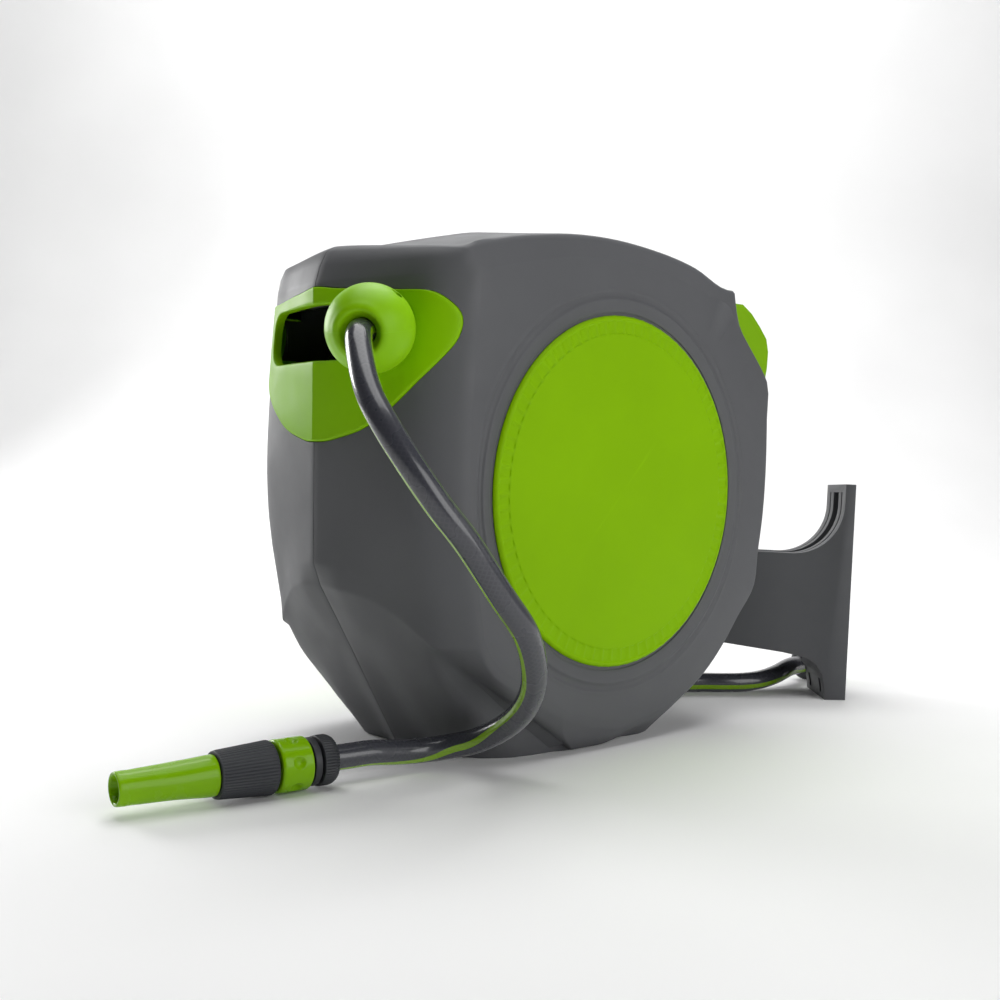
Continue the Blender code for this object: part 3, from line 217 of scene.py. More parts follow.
def brushed(name, base, rough, scale):
    """Turned or drawn metal: fine lines, slight tarnish and brighter edges."""
    m = Mat(name, rough, 1.0)
    drawn_out = (1.0, 0.04, 1.0)
    tone = m.mix(m.ramp(m.noise(45.0, 4.0), 0.35, 0.70), base, shade(base, 0.62))
    m.colour(m.mix(m.edges(), tone, shade(base, 1.25)))
    m.rough(m.ramp(m.noise(scale, 2.0, drawn_out), 0.3, 0.7, rough - 0.06, rough + 0.10))
    m.bump(m.noise(scale, 2.0, drawn_out), 0.35, 0.00002)
    return m.mat


STEEL_MAT = brushed("zinc_steel", srgb(196, 198, 202), 0.30, 2200.0)
SPRING_MAT = brushed("spring_steel", srgb(120, 124, 134), 0.36, 1800.0)
BRASS_MAT = brushed("turned_brass", srgb(206, 172, 96), 0.30, 1500.0)


def hose_skin(name, base, pale):
    """Clear-coated PVC over a braid of crossed helical threads, in the tube's own coordinates."""
    m = Mat(name, 0.26, Coat_Weight=0.45, Coat_Roughness=0.07)
    uv = m.node("ShaderNodeUVMap")
    uv.uv_map = "tube"
    parts = m.node("ShaderNodeSeparateXYZ", Vector=uv.outputs[0])
    threads_around, threads_along = 12, 14
    around = m.maths("MULTIPLY", parts.outputs[0], 2 * pi * threads_around)
    along = m.maths("MULTIPLY", parts.outputs[1], 2 * pi * threads_along)
    one = m.maths("SINE", m.maths("ADD", around, along))
    two = m.maths("SINE", m.maths("SUBTRACT", around, along))
    braid = m.maths("MAXIMUM", one, two)
    tone = m.mix(m.ramp(m.noise(26.0, 3.0), 0.35, 0.65), shade(base, 0.95), base)
    m.colour(m.mix(m.ramp(braid, 0.2, 1.0, 0.0, 0.10), tone, pale))
    m.rough(m.ramp(m.noise(40.0, 2.0), 0.3, 0.7, 0.25, 0.29))
    m.bump(braid, 0.15, 0.00003)
    return m.mat


HOSE_MAT = hose_skin("hose_pvc", srgb(62, 63, 70), srgb(98, 99, 106))
STRIPE_MAT = hose_skin("hose_stripe", srgb(128, 172, 14), srgb(158, 196, 40))


# Mesh helpers
def dress(obj, body=None, nodes=()):
    """Say what the object rides on, which CAD nodes it stands in for."""
    if body:
        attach(obj, body)
    if nodes:
        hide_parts(*nodes)
    return obj


def piece(name, verts, faces, mat, body=None, nodes=(), slot=None, sharp=34):
    mesh = bpy.data.meshes.new(name)
    mesh.from_pydata([tuple(v) for v in verts], [], faces)
    mesh.materials.append(mat)
    bm = bmesh.new()
    bm.from_mesh(mesh)
    bmesh.ops.recalc_face_normals(bm, faces=bm.faces)
    if bm.calc_volume(signed=True) < 0:
        bmesh.ops.reverse_faces(bm, faces=bm.faces)
    bm.to_mesh(mesh)
    bm.free()
    mesh.shade_smooth()
    mesh.set_sharp_from_angle(angle=radians(sharp))
    obj = bpy.data.objects.new(name, mesh)
    bpy.context.scene.collection.objects.link(obj)
    return dress(obj, body, nodes)


def settle(obj, sharp=34):
    """Turn the object's modifiers into its mesh."""
    bpy.context.view_layer.update()
    done = bpy.data.meshes.new_from_object(obj.evaluated_get(bpy.context.evaluated_depsgraph_get()))
    obj.modifiers.clear()
    old = obj.data
    obj.data = done
    bpy.data.meshes.remove(old)
    done.shade_smooth()
    done.set_sharp_from_angle(angle=radians(sharp))
    return obj


def carve(obj, data, operation="DIFFERENCE", sharp=34):
    other = piece("tool", *data, obj.data.materials[0])
    mod = obj.modifiers.new("cut", "BOOLEAN")
    mod.operation = operation
    mod.solver = "EXACT"
    mod.object = other
    settle(obj, sharp)
    bpy.data.objects.remove(other, do_unlink=True)
    return obj


def rounded(obj, width, segments=3, angle=30, sharp=34):
    mod = obj.modifiers.new("edge", "BEVEL")
    mod.limit_method = "ANGLE"
    mod.angle_limit = radians(angle)
    mod.width = width
    mod.segments = segments
    mod.use_clamp_overlap = True
    mod.harden_normals = False
    return settle(obj, sharp)


def axes(axis):
    z = Vector(axis).normalized()
    side = Vector((0, 0, 1)) if abs(z.z) < 0.9 else Vector((1, 0, 0))
    x = side.cross(z).normalized()
    return x, z.cross(x), z


def lathe(profile, at, axis, segments=96, sweep=360.0, start=0.0, shape=None):
    """Turn a closed (radius, height) loop; shape(angle, radius, height) may move each point."""
    x, y, z = axes(axis)
    at = Vector(at)
    full = sweep >= 359.9
    count = segments if full else segments + 1
    verts = []
    for k in range(count):
        angle = radians(start + sweep * k / segments)
        for r, h in profile:
            if shape:
                r, h = shape(angle, r, h)
            verts.append(at + (x * cos(angle) + y * sin(angle)) * r + z * h)
    n = len(profile)
    faces = []
    for k in range(segments):
        a, b = k * n, ((k + 1) % count) * n
        faces += [(a + i, a + (i + 1) % n, b + (i + 1) % n, b + i) for i in range(n)]
    if not full:
        faces.append(tuple(range(n)))
        faces.append(tuple((count - 1) * n + i for i in range(n)))
    return verts, faces


def turned(profile, at, axis, segments=48):
    """Solid of revolution between two flat ends."""
    x, y, z = axes(axis)
    at = Vector(at)
    verts = []
    for r, h in profile:
        for k in range(segments):
            a = 2 * pi * k / segments
            verts.append(at + (x * cos(a) + y * sin(a)) * r + z * h)
    return verts, tube_faces(len(profile), segments)


def wall_faces(rows, n):
    faces = []
    for a in range(0, (rows - 1) * n, n):
        faces += [(a + i, a + (i + 1) % n, a + n + (i + 1) % n, a + n + i) for i in range(n)]
    return faces


def tube_faces(rows, n):
    """Faces between rings in a row, with a flat end on the first and the last."""
    return wall_faces(rows, n) + [tuple(range(n)), tuple(range((rows - 1) * n, rows * n))]


def closed_faces(rows, n):
    """Faces between rings in a row, whose last ring also meets the first."""
    last = (rows - 1) * n
    return wall_faces(rows, n) + [(last + i, last + (i + 1) % n, (i + 1) % n, i) for i in range(n)]


def prism(points, to3d, lo, hi):
    verts = [to3d(u, v, lo) for u, v in points] + [to3d(u, v, hi) for u, v in points]
    return verts, tube_faces(2, len(points))


def arc(cx, cy, radius, degrees):
    return [(cx + radius * cos(radians(a)), cy + radius * sin(radians(a))) for a in degrees]


def circle(at, x, y, radius, count):
    turns = [2 * pi * k / count for k in range(count)]
    return [at + (x * cos(a) + y * sin(a)) * radius for a in turns]


def xz(u, v, w):
    return Vector((u, w, v))


def yz(u, v, w):
    return Vector((w, u, v))


def block(lo, hi):
    return prism([(lo[0], lo[2]), (hi[0], lo[2]), (hi[0], hi[2]), (lo[0], hi[2])], xz, lo[1], hi[1])


def joined(*parts):
    verts, faces = [], []
    for v, f in parts:
        base = len(verts)
        verts.extend(v)
        faces.extend(tuple(base + i for i in face) for face in f)
    return verts, faces


def round_profile(points, radius, steps=3):
    """Round the corners of a closed (radius, height) loop."""
    out = []
    n = len(points)
    for i in range(n):
        a, b, c = Vector(points[i - 1]), Vector(points[i]), Vector(points[(i + 1) % n])
        r = min(radius, (a - b).length * 0.45, (c - b).length * 0.45)
        p, q = b + (a - b).normalized() * r, b + (c - b).normalized() * r
        for k in range(steps + 1):
            s = k / steps
            out.append(tuple(p * (1 - s) ** 2 + b * 2 * s * (1 - s) + q * s * s))
    return out


# Routes of the hoses
def hermite(a, b, slope_a, slope_b, s):
    """The smooth way from a to b at share s, with the given slopes at its ends."""
    return (a * (2 * s ** 3 - 3 * s ** 2 + 1) + slope_a * (s ** 3 - 2 * s ** 2 + s)
            + b * (3 * s ** 2 - 2 * s ** 3) + slope_b * (s ** 3 - s ** 2))


def ease(s):
    return s * s * (3 - 2 * s)


def smooth_route(points, step):
    pts = [Vector(p) for p in points]
    pts = [pts[0] * 2 - pts[1]] + pts + [pts[-1] * 2 - pts[-2]]
    fine = []
    for i in range(1, len(pts) - 2):
        p0, p1, p2, p3 = pts[i - 1:i + 3]
        t1, t2, t3 = [max((b - a).length, 1e-9) ** 0.5 for a, b in ((p0, p1), (p1, p2), (p2, p3))]
        m1 = ((p2 - p1) / t2 - (p2 - p0) / (t1 + t2) + (p1 - p0) / t1) * t2
        m2 = ((p3 - p2) / t3 - (p3 - p1) / (t2 + t3) + (p2 - p1) / t2) * t2
        fine += [hermite(p1, p2, m1, m2, k / 24) for k in range(24)]
    fine.append(pts[-2])
    return even(fine, step)


def length_of(points):
    return sum((b - a).length for a, b in zip(points, points[1:]))


def even(points, step):
    count = max(2, round(length_of(points) / step))
    want = length_of(points) / count
    out = [points[0]]
    gone = 0.0
    for a, b in zip(points, points[1:]):
        seg = (b - a).length
        while gone + seg >= want * len(out) - 1e-9 and len(out) < count:
            out.append(a.lerp(b, (want * len(out) - gone) / seg))
        gone += seg
    out.append(points[-1])
    return out


STRIPES = (0.0, pi)
STRIPE_HALF = radians(12)


def tube(name, path, radius, body, nodes, facing=None, around=48):
    """Sweep a round hose; facing gives the way that its first stripe looks at each share of the length."""
    path = [Vector(p) for p in path]
    n = len(path)
    ways = [(path[min(i + 1, n - 1)] - path[max(i - 1, 0)]).normalized() for i in range(n)]
    total = length_of(path)
    verts, turns_along, run = [], [], 0.0
    x = None
    for i, (p, way) in enumerate(zip(path, ways)):
        if i:
            run += (p - path[i - 1]).length
        if facing:
            want = facing(run / total)
        else:
            want = x if x else Vector((0, 0, 1)) if abs(way.z) < 0.9 else Vector((1, 0, 0))
        x = (want - way * want.dot(way)).normalized()
        verts += circle(p, x, way.cross(x), radius, around)
        turns_along.append(run / (2 * pi * radius))
    obj = piece(name, verts, tube_faces(n, around), HOSE_MAT)
    mesh = obj.data
    mesh.materials.append(STRIPE_MAT)
    layer = mesh.uv_layers.new(name="tube")
    for poly in mesh.polygons:
        ks = [v % around for v in poly.vertices]
        wrap = max(ks) - min(ks) > around / 2
        for corner, vert in zip(poly.loop_indices, poly.vertices):
            k = vert % around
            k += around if wrap and k == 0 else 0
            layer.data[corner].uv = (k / around, turns_along[vert // around])
        if len(poly.vertices) == 4:
            mid = sum(k + around if wrap and k == 0 else k for k in ks) / 4 * 2 * pi / around
            if any(abs((mid - s + pi) % (2 * pi) - pi) < STRIPE_HALF for s in STRIPES):
                poly.material_index = 1
    return dress(obj, body, nodes)


def seen_way(right, up, near):
    return (RIGHT * right + UP * up - LOOK * near).normalized()


def facing_keys(keys):
    def facing(s):
        for (a, u), (b, v) in zip(keys, keys[1:]):
            if s <= b:
                return u.lerp(v, ease(min(1.0, max(0.0, (s - a) / (b - a))))).normalized()
        return keys[-1][1]
    return facing


LEAD_BEND = [(-0.1043, -0.0140, 0.3096), (-0.1158, -0.0154, 0.3062), (-0.1270, -0.0182, 0.3038),
             (-0.1375, -0.0228, 0.3025), (-0.1480, -0.0292, 0.3020), (-0.1650, -0.0418, 0.3020),
             (-0.1830, -0.0551, 0.3020), (-0.1965, -0.0652, 0.3003), (-0.2104, -0.0766, 0.2974)]
FREE_ROUTE = [(-242.3, -110.0, 270.5), (-247.5, -125.5, 251.0), (-246.8, -141.0, 232.0),
              (-238.9, -156.3, 207.6), (-226.8, -166.0, 185.6), (-212.7, -172.5, 166.7),
              (-185.7, -176.5, 131.5), (-163.8, -174.9, 107.6), (-147.3, -166.3, 84.2),
              (-136.4, -154.4, 65.3), (-129.2, -136.8, 47.2), (-126.9, -115.0, 32.2), (-131.0, -94.0, 21.5),
              (-143.0, -76.5, 15.9), (-160.0, -67.0, 14.3), (-178.0, -64.2, 15.6)]


def lead_start():
    a = radians(WIND_END_DEG)
    at = Vector((WIND_R * cos(a), WIND_TO, AXIS_Z + WIND_R * sin(a)))
    return at, Vector((-sin(a), -0.0195, cos(a))).normalized()


def winding_points(per=40):
    turns = abs(WIND_TO - WIND_FROM) / WIND_PITCH
    count = round(turns * per)
    out = []
    for k in range(count + 1):
        s = k / count
        a = radians(WIND_END_DEG) - 2 * pi * turns * (1 - s)
        y = WIND_FROM + (WIND_TO - WIND_FROM) * s
        out.append(Vector((WIND_R * cos(a), y, AXIS_Z + WIND_R * sin(a))))
    at, way = lead_start()
    return out + [at + way * 0.0170]


def hose_route():
    """From the winding's end through the slot and the ball, down to the table and to the nozzle."""
    at, way = lead_start()
    pts = [at + way * 0.0173, at + way * 0.0345] + [Vector(p) for p in LEAD_BEND]
    pts += [BALL + BALL_AXIS * ahead for ahead in (0.013, 0.026)]
    pts += [Vector(p) / 1000 for p in FREE_ROUTE]
    pts += [NOZZLE_START + NOZZLE_AXIS * ahead for ahead in (-0.020, -0.003, HOSE_END)]
    return smooth_route(pts, 0.004)


HINGE_LEAN = radians(3.0)


def hinge_axis():
    return Vector((sin(HINGE_LEAN), 0.0, cos(HINGE_LEAN)))


def hinge_point(z=HINGE_Z):
    return Vector((HINGE_X + (z - HINGE_Z) * sin(HINGE_LEAN) / cos(HINGE_LEAN), 0.0, z))


def supply_route():
    """Down from the elbow, round the coil on the table, and under the hinge to the connector."""
    cx, cy = COIL_CENTRE
    drop = [(0, ELBOW_Y, 0.1585), (0, ELBOW_Y, 0.1400), (0.0008, ELBOW_Y + 0.0002, 0.1100),
            (0.0100, ELBOW_Y + 0.0010, 0.0740), (0.0330, ELBOW_Y + 0.0040, 0.0500),
            (0.0650, ELBOW_Y + 0.0175, 0.0440)]
    coil = []
    for a in range(0, COIL_DEG + 1, 5):
        phi = radians(270 + a)
        height = LIE_Z + COIL_PITCH * (COIL_DEG - a) / 360
        coil.append(Vector((cx + COIL_R * cos(phi), cy + COIL_R * sin(phi), height)))
    tail = [(0.0302, 0.2300), (0.0345, 0.2060), (0.0425, 0.1830), (0.0530, 0.1600), (0.0645, 0.1380),
            (0.0765, 0.1170), (0.0880, 0.0980), (0.1060, 0.0730), (0.1290, 0.0510), (0.1570, 0.0350),
            (0.1840, 0.0225), (0.2038, 0.0104)]
    under = hinge_point(LIE_Z)
    last = [(x, y, LIE_Z) for x, y in tail] + [under, under + Vector((0.8, -0.6, 0.0)) * 0.017]
    last += [(0.2450, -0.0225, LIE_Z), (0.2590, -0.0325, 0.0087), (0.2760, -0.0395, 0.0098),
             (0.2960, -0.0430, 0.0130)]
    last += [SUPPLY_END + SUPPLY_AXIS * ahead for ahead in (-0.020, -0.002, HOSE_END)]
    down = smooth_route([Vector(p) for p in drop] + [coil[0]], 0.005)
    away = smooth_route([coil[-1]] + last, 0.005)
    return down[:-1] + coil + away[1:]


# Cords: the free hose from the slot to the nozzle, and the supply hose from the inlet elbow to its connector
ROUTE = hose_route()
SLOT_MOUTH = Vector((-0.1850, -0.0566, 0.3016))
GATE = min(range(len(ROUTE)), key=lambda i: (ROUTE[i] - SLOT_MOUTH).length)
FREE_PATH = ROUTE[GATE:]

# Share of the free hose's length, and where its stripe looks: to the picture's right, up and to the camera
STRIPE_LOOKS = [(0.0, -1.0, -0.15, 0.0), (0.20, -1.0, -0.25, -0.05), (0.34, -0.8, -0.5, 0.30),
                (0.60, -0.8, -0.5, 0.38), (0.72, -0.85, 0.1, 0.55), (0.80, -0.35, -0.15, 1.0),
                (0.87, 0.0, -0.65, 0.75), (0.93, 0.0, -0.80, 0.58), (1.0, 0.0, -0.83, 0.52)]
FREE_FACING = facing_keys([(share, seen_way(*look)) for share, *look in STRIPE_LOOKS])


def supply_facing(s):
    if s > 0.5:
        return seen_way(0.0, -0.42, 0.90)
    return Vector((0, 0, -1)) if s > 0.12 else Vector((0, -1, 0))


free_hose = tube("free_hose_skin", FREE_PATH, HOSE_R, "free_end", ["free_hose"], FREE_FACING)
lead = tube("lead_hose_skin", ROUTE[:GATE + 1], HOSE_R * 0.999, None, ["free_hose"],
            lambda s: FREE_FACING(0.0))
supply_path = supply_route()
supply = tube("supply_hose_skin", supply_path, HOSE_R, None, ["supply_hose", "supply_hose_end"],
              supply_facing)


def fine_winding():
    """The outer layer turn by turn, and the two layers below it as wound hose as well."""
    tube("hose_winding_skin", winding_points(), HOSE_R, "drum", ["hose_winding"], around=24)
    turns, per = 8, 36
    for name, radius, sign in (("hose_layer_first", 0.1112, 1), ("hose_layer_second", 0.1260, -1)):
        pts = []
        for k in range(turns * per + 1):
            s = k / (turns * per)
            a = 2 * pi * turns * s * sign
            pts.append(Vector((radius * cos(a), (-0.0715 + 0.143 * s) * sign, AXIS_Z + radius * sin(a))))
        tube(name, pts, HOSE_R * 0.985, "drum", ["hose_inner_layers"], around=16)


fine_winding()

# Case outline tables, millimetres, as in the CAD part
LOWER_T = [0, 24, 45, 65, 81, 91, 107, 108]
ARC_T = [0, 23, 44, 65, 82, 94, 105, 108]
BOW_T = [0, 30, 60, 75, 85, 92, 98, 102, 105, 107, 108]
BOW_X = [-199, -194.2, -188.5, -185, -181, -176, -169.5, -163.8, -158.8, -154.3, -150.5]
SWELL_Z = [80, 95, 107, 121, 132, 144, 167, 200, 240, 285, 333, 355]
SWELL_X = [15, 14, 13, 11, 8.5, 5.5, 2, 0, 1, 4.3, 8.5, 9.5]
LOWER_FRONT = [
    [(-193, 124), (-170, 85), (-147, 45), (-121, 0), (-60, 0), (0, 0)],
    [(-194, 122), (-168, 82), (-141, 41), (-113, 0), (-60, 0), (0, 0)],
    [(-188, 117.5), (-165, 78), (-141.5, 39), (-113, 0), (-60, 0), (0, 0)],
    [(-179.5, 107), (-159, 71), (-135, 36), (-103, 0), (-50, 0), (0, 0)],
    [(-170, 94.5), (-150, 63), (-118, 31.5), (-80, 0), (-40, 0), (0, 0)],
    [(-165, 87), (-121, 58), (-76, 29), (-32, 0), (-20, 0), (0, 0)],
    [(-153, 87), (-131, 72), (-99, 51), (-57, 28), (-28, 20), (1, 14)],
    [(-146, 92), (-126, 77), (-95, 57), (-55, 34), (-27, 26), (1, 20)],
]
ROOF_X = [-150, -119, -80, -56, -20, 31, 91, 133]
ROOF_MID = [363.5, 371, 380, 385, 388, 386, 376, 360]
ROOF_EDGE = [354, 363, 370, 373, 375, 373, 364, 351]
ROOF_CREASE = [339.5, 344, 352, 356.5, 359, 357, 344.5, 328]
REAR = [(141, 351), (143, 339), (146, 326), (163, 304), (177, 290), (186, 279), (187, 248),
        (187, 209), (183, 163), (178, 137), (174, 111), (152, 86), (134, 66), (108, 44)]
REAR_LOW_MID = [(82, 22), (57, 0), (28, 0)]
REAR_LOW_SIDE = [(82, 29), (58, 20), (26, 14)]
SHARP = (2, 5, 6, 11, 21)
CASE_SCREWS = [(-0.1500, 0.3405), (-0.1655, 0.227), (-0.158, 0.129), (0.1270, 0.3355), (0.1755, 0.240),
               (0.151, 0.099), (0.012, 0.0072)]
SCREW_HEAD_Y = [0.0915, 0.0905, 0.0925, 0.0985, 0.0985, 0.0985, 0.0860]
HANDLE_DIR = Vector((0.79, 0.0, 0.61)).normalized()


def curve_value(t, xs, ys):
    """Monotone smooth interpolation through table points."""
    t = min(max(t, xs[0]), xs[-1])
    k = min(max(int(np.searchsorted(xs, t)) - 1, 0), len(xs) - 2)
    slopes = [(b - a) / (v - u) for a, b, u, v in zip(ys, ys[1:], xs, xs[1:])]

    def tangent(i):
        if i == 0:
            return slopes[0]
        if i == len(xs) - 1:
            return slopes[-1]
        a, b = slopes[i - 1], slopes[i]
        return 0.0 if a * b <= 0 else 2 * a * b / (a + b)

    h = xs[k + 1] - xs[k]
    return hermite(ys[k], ys[k + 1], h * tangent(k), h * tangent(k + 1), (t - xs[k]) / h)


def straight_value(t, xs, ys):
    return float(np.interp(t, xs, ys))


def front_x(t, z):
    """Front wall x at half width t and height z: bowed across, and rounded in height towards the sides."""
    return curve_value(t, BOW_T, BOW_X) + ease(min(t / 85, 1.0)) * curve_value(z, SWELL_Z, SWELL_X)


def outline(t):
    """The case outline in the XZ plane at half width t, once round."""
    tuck = curve_value(t, [0, 101, 105, 107.3, 108], [0, 0, 2, 5, 8])
    lower = []
    for j in range(6):
        lower.append(tuple(curve_value(t, LOWER_T, [row[j][c] for row in LOWER_FRONT]) for c in (0, 1)))
    lower[0] = (max(lower[0][0], front_x(t, lower[0][1]) + 0.3), lower[0][1])
    low_edge = curve_value(t, ARC_T, [140, 138, 132, 121, 107, 98, 94, 98])
    crease = curve_value(t, [0, 53, 85, 100, 108], [333, 334, 335, 336.5, 336])
    lean = straight_value(t, [0, 95, 102, 108], [9, 6, 4, 3])
    upper = [(front_x(t, z), z) for z in (low_edge, 167, 200, 240, 285, crease)]
    top = front_x(t, crease) + lean
    upper.append((top, straight_value(t, [0, 100, 102, 108], [355, 352, 352, 338.5])))
    roof = []
    for x, *levels in zip(ROOF_X, ROOF_MID, ROOF_EDGE, ROOF_CREASE):
        roof.append((max(x, top + 3) if x == ROOF_X[0] else x, straight_value(t, [0, 102, 108], levels)))
    drop = straight_value(t, [102, 108], [0, 1])
    rear = [(x - tuck, z - (25, 15.5, 5)[i] * drop if i < 3 else z) for i, (x, z) in enumerate(REAR)]
    blend = straight_value(t, [86, 107], [0, 1])
    low = [(a[0] + (b[0] - a[0]) * blend, a[1] + (b[1] - a[1]) * blend + tuck * 0.6 * blend)
           for a, b in zip(REAR_LOW_MID, REAR_LOW_SIDE)]
    return lower[::-1] + upper + roof + rear + low


def point_counts(points, spacing=9.0):
    """How many points each side of a closed outline gets."""
    sides = zip(points, points[1:] + points[:1])
    return [max(1, round((Vector(b) - Vector(a)).length / spacing)) for a, b in sides]


COUNTS = point_counts(outline(30))


def inset(points, distance):
    """Every point of a clockwise outline moved inward."""
    out = []
    for i, b in enumerate(points):
        d1 = (Vector(b) - Vector(points[i - 1])).normalized()
        d2 = (Vector(points[(i + 1) % len(points)]) - Vector(b)).normalized()
        n1 = Vector((d1.y, -d1.x))
        m = (n1 + Vector((d2.y, -d2.x))).normalized()
        out.append(tuple(Vector(b) + m * distance / max(m.dot(n1), 0.6)))
    return out


CREASE_NEAR, CREASE_FAR = 0.7, 2.4


def fine_ring(t, inward=0.0):
    """The outline at half width t as smooth runs between its creases, each crease a narrow rounded edge."""
    pts = [Vector(p) for p in (inset(outline(t), inward) if inward else outline(t))]
    n = len(pts)
    out = []
    for i in range(n):
        a, b = pts[i], pts[(i + 1) % n]
        length = max((b - a).length, 1e-6)

        def tangent(j):
            before, at, after = pts[j - 1], pts[j], pts[(j + 1) % n]
            p, q = (at - before).length, (after - at).length
            if j in SHARP or inward > 1 or min(p, q) < 1e-6:
                return b - a
            return ((at - before) / p * q + (after - at) / q * p) / (p + q) * length

        m0, m1 = tangent(i), tangent((i + 1) % n)
        shares = [k / COUNTS[i] for k in range(COUNTS[i])]
        near, far = min(CREASE_NEAR / length, 0.15), min(CREASE_FAR / length, 0.35)
        if i in SHARP:
            shares = [near, far] + shares[1:]
        if (i + 1) % n in SHARP:
            shares += [1 - far, 1 - near]
        out += [hermite(a, b, m0, m1, s) for s in sorted(shares)]
    return out


def plate_outline(grow):
    top = [(0, 330), (20, 328), (39, 327), (68, 325), (86, 324), (93, 321.5), (98, 317), (102.3, 310)]
    bottom = [(103.4, 301), (101, 288.5), (93, 273.6), (80, 258), (65, 245), (44, 232.6), (15, 225), (0, 224)]
    right = [(y / 1000, z / 1000) for y, z in top + bottom]
    points = right + [(-y, z) for y, z in reversed(right[1:-1])]
    centre = Vector((0, 0.285))
    return [tuple(centre + (Vector(p) - centre) * (1 + grow / (Vector(p) - centre).length)) for p in points]


def spread_loop(points, count, straight=False):
    """Even points round a closed loop, smooth or straight between its points, from its first point on."""
    pts = [Vector((p[0], p[1], 0)) for p in points]
    n = len(pts)
    fine = []
    for i in range(n):
        p0, p1, p2, p3 = pts[i - 1], pts[i], pts[(i + 1) % n], pts[(i + 2) % n]
        for s in [k / 12 for k in range(12)]:
            if straight:
                fine.append(p1.lerp(p2, s))
            else:
                fine.append(0.5 * ((2 * p1) + (p2 - p0) * s + (2 * p0 - 5 * p1 + 4 * p2 - p3) * s * s
                                   + (3 * p1 - p0 - 3 * p2 + p3) * s ** 3))
    fine.append(fine[0])
    return [(p.x, p.y) for p in even(fine, length_of(fine) / count)[:count]]


# Rings moulded into the side face around the disc: radius and level, metres
SIDE_RINGS = [(0.1575, 0.1080), (0.1515, 0.1080), (0.1492, 0.1081), (0.1480, 0.1085), (0.1474, 0.1084),
              (0.1466, 0.1078), (0.1452, 0.1076), (0.1432, 0.1077), (0.1420, 0.1083), (0.1412, 0.1090),
              (0.1404, 0.1092), (0.1395, 0.1090), (0.1370, 0.1084), (0.1340, 0.1077), (0.1318, 0.1072),
              (0.1315, 0.1069), (0.1315, 0.1062), (0.0800, 0.1062), (0.0200, 0.1062), (0.0151, 0.1062),
              (0.0151, 0.1012)]
RING_IN, RING_OUT = 0.1315, 0.1585

# Half widths of the shell's rings, millimetres: close together where the side rounds over
SHELL_T = [0.15, 0.35, 0.8] + [6 + 6 * k for k in range(12)] + [75 + 3 * k for k in range(8)]
SHELL_T += [98.5, 100.7, 102.4, 103.6, 104.6, 105.5, 106.2, 106.8, 107.25, 107.6, 107.83, 107.95, 108]
SEAM_TUCK = {0.15: 0.45, 0.35: 0.12}


def shell_ring(side, t, inward):
    return [Vector((p.x / 1000, side * t / 1000, p.y / 1000)) for p in fine_ring(t, inward)]


def side_ring(side, reach, r, y):
    """A ring of the side face, drawn in where the case's edge is too near for its full radius."""
    ring = []
    for v in reach:
        limit = v.length - 0.0010
        soft = r
        if limit < RING_OUT and r > RING_IN:
            soft = r - (RING_OUT - limit) * ((r - RING_IN) / (RING_OUT - RING_IN)) ** 2
        p = Vector((0, 0, AXIS_Z)) + v.normalized() * soft
        ring.append(Vector((p.x, side * y, p.z)))
    return ring


def shell_rings(side):
    """From the seam over the outside to the side face, through its bore, and back along the inside."""
    rings = [shell_ring(side, t, SEAM_TUCK.get(t, 0.0)) for t in SHELL_T]
    centre = Vector((0, 0, AXIS_Z))
    reach = [Vector((v.x, 0, v.z - AXIS_Z)) for v in rings[-1]]
    rings += [side_ring(side, reach, r, y) for r, y in SIDE_RINGS]
    bore = 0.0103 if side > 0 else 0.0083
    for r, y in ((bore, 0.1012), (bore, 0.0975), (0.0240, 0.0975), (0.0240, 0.1036)):
        rings.append([centre + v.normalized() * r + Vector((0, side * y, 0)) for v in reach])
    for t in (104, 98, 86, 46, 0.15):
        rings.append(shell_ring(side, t, straight_value(t, [95, 100, 104], [3.0, 3.6, 6.5])))
    return rings


def handle_screw_at(side):
    return Vector((0.1662, side * 0.068, 0.3053))


def shell_cuts(side):
    """The plate's window, the case screws' bores and the handle screw's bore."""
    cuts = [prism(spread_loop(plate_outline(0.0006), 160), yz, -0.230, -0.1515)]
    for (x, z), head in zip(CASE_SCREWS, SCREW_HEAD_Y):
        if side > 0:
            profile = [(0.0023, -0.002), (0.0023, head), (0.0049, head), (0.0049, 0.130)]
        else:
            profile = [(0.0020, -0.002), (0.0020, 0.030)]
        cuts.append(turned(profile, (x, 0, z), (0, side, 0), 32))
    cuts.append(turned([(0.0021, -0.020), (0.0021, 0.020)], handle_screw_at(side), HANDLE_DIR, 20))
    return cuts


def screw_bosses(side, name):
    """Hollow posts round the case screws, cut off at the shell's inside."""
    bosses = []
    for (x, z), head in zip(CASE_SCREWS, SCREW_HEAD_Y):
        loop = [(0.0023, 0.00015), (0.0048, 0.00015), (0.0048, 0.0858)]
        if side > 0:
            loop += [(0.0070, 0.0866), (0.0070, 0.1050), (0.0049, 0.1050), (0.0049, head), (0.0023, head)]
        else:
            loop += [(0.0020, 0.0858), (0.0020, 0.00015)]
        bosses.append(lathe(loop, (x, 0, z), (0, side, 0), 24))
    boss = piece(name, *joined(*bosses), CASE_MAT)
    widths = (0.15, 24, 46, 68, 86, 95, 102, 105.5)
    rings = [shell_ring(side, t, 1.6) for t in widths]
    carve(boss, (sum(rings, []), tube_faces(len(rings), len(rings[0]))), "INTERSECT")
    dress(boss, "case")


def case_half(side, name, node):
    rings = shell_rings(side)
    shell = piece(name, sum(rings, []), closed_faces(len(rings), len(rings[0])), CASE_MAT, sharp=40)
    for cut in shell_cuts(side):
        carve(shell, cut, sharp=40)
    screw_bosses(side, name + "_bosses")
    dress(shell, "case", [node])


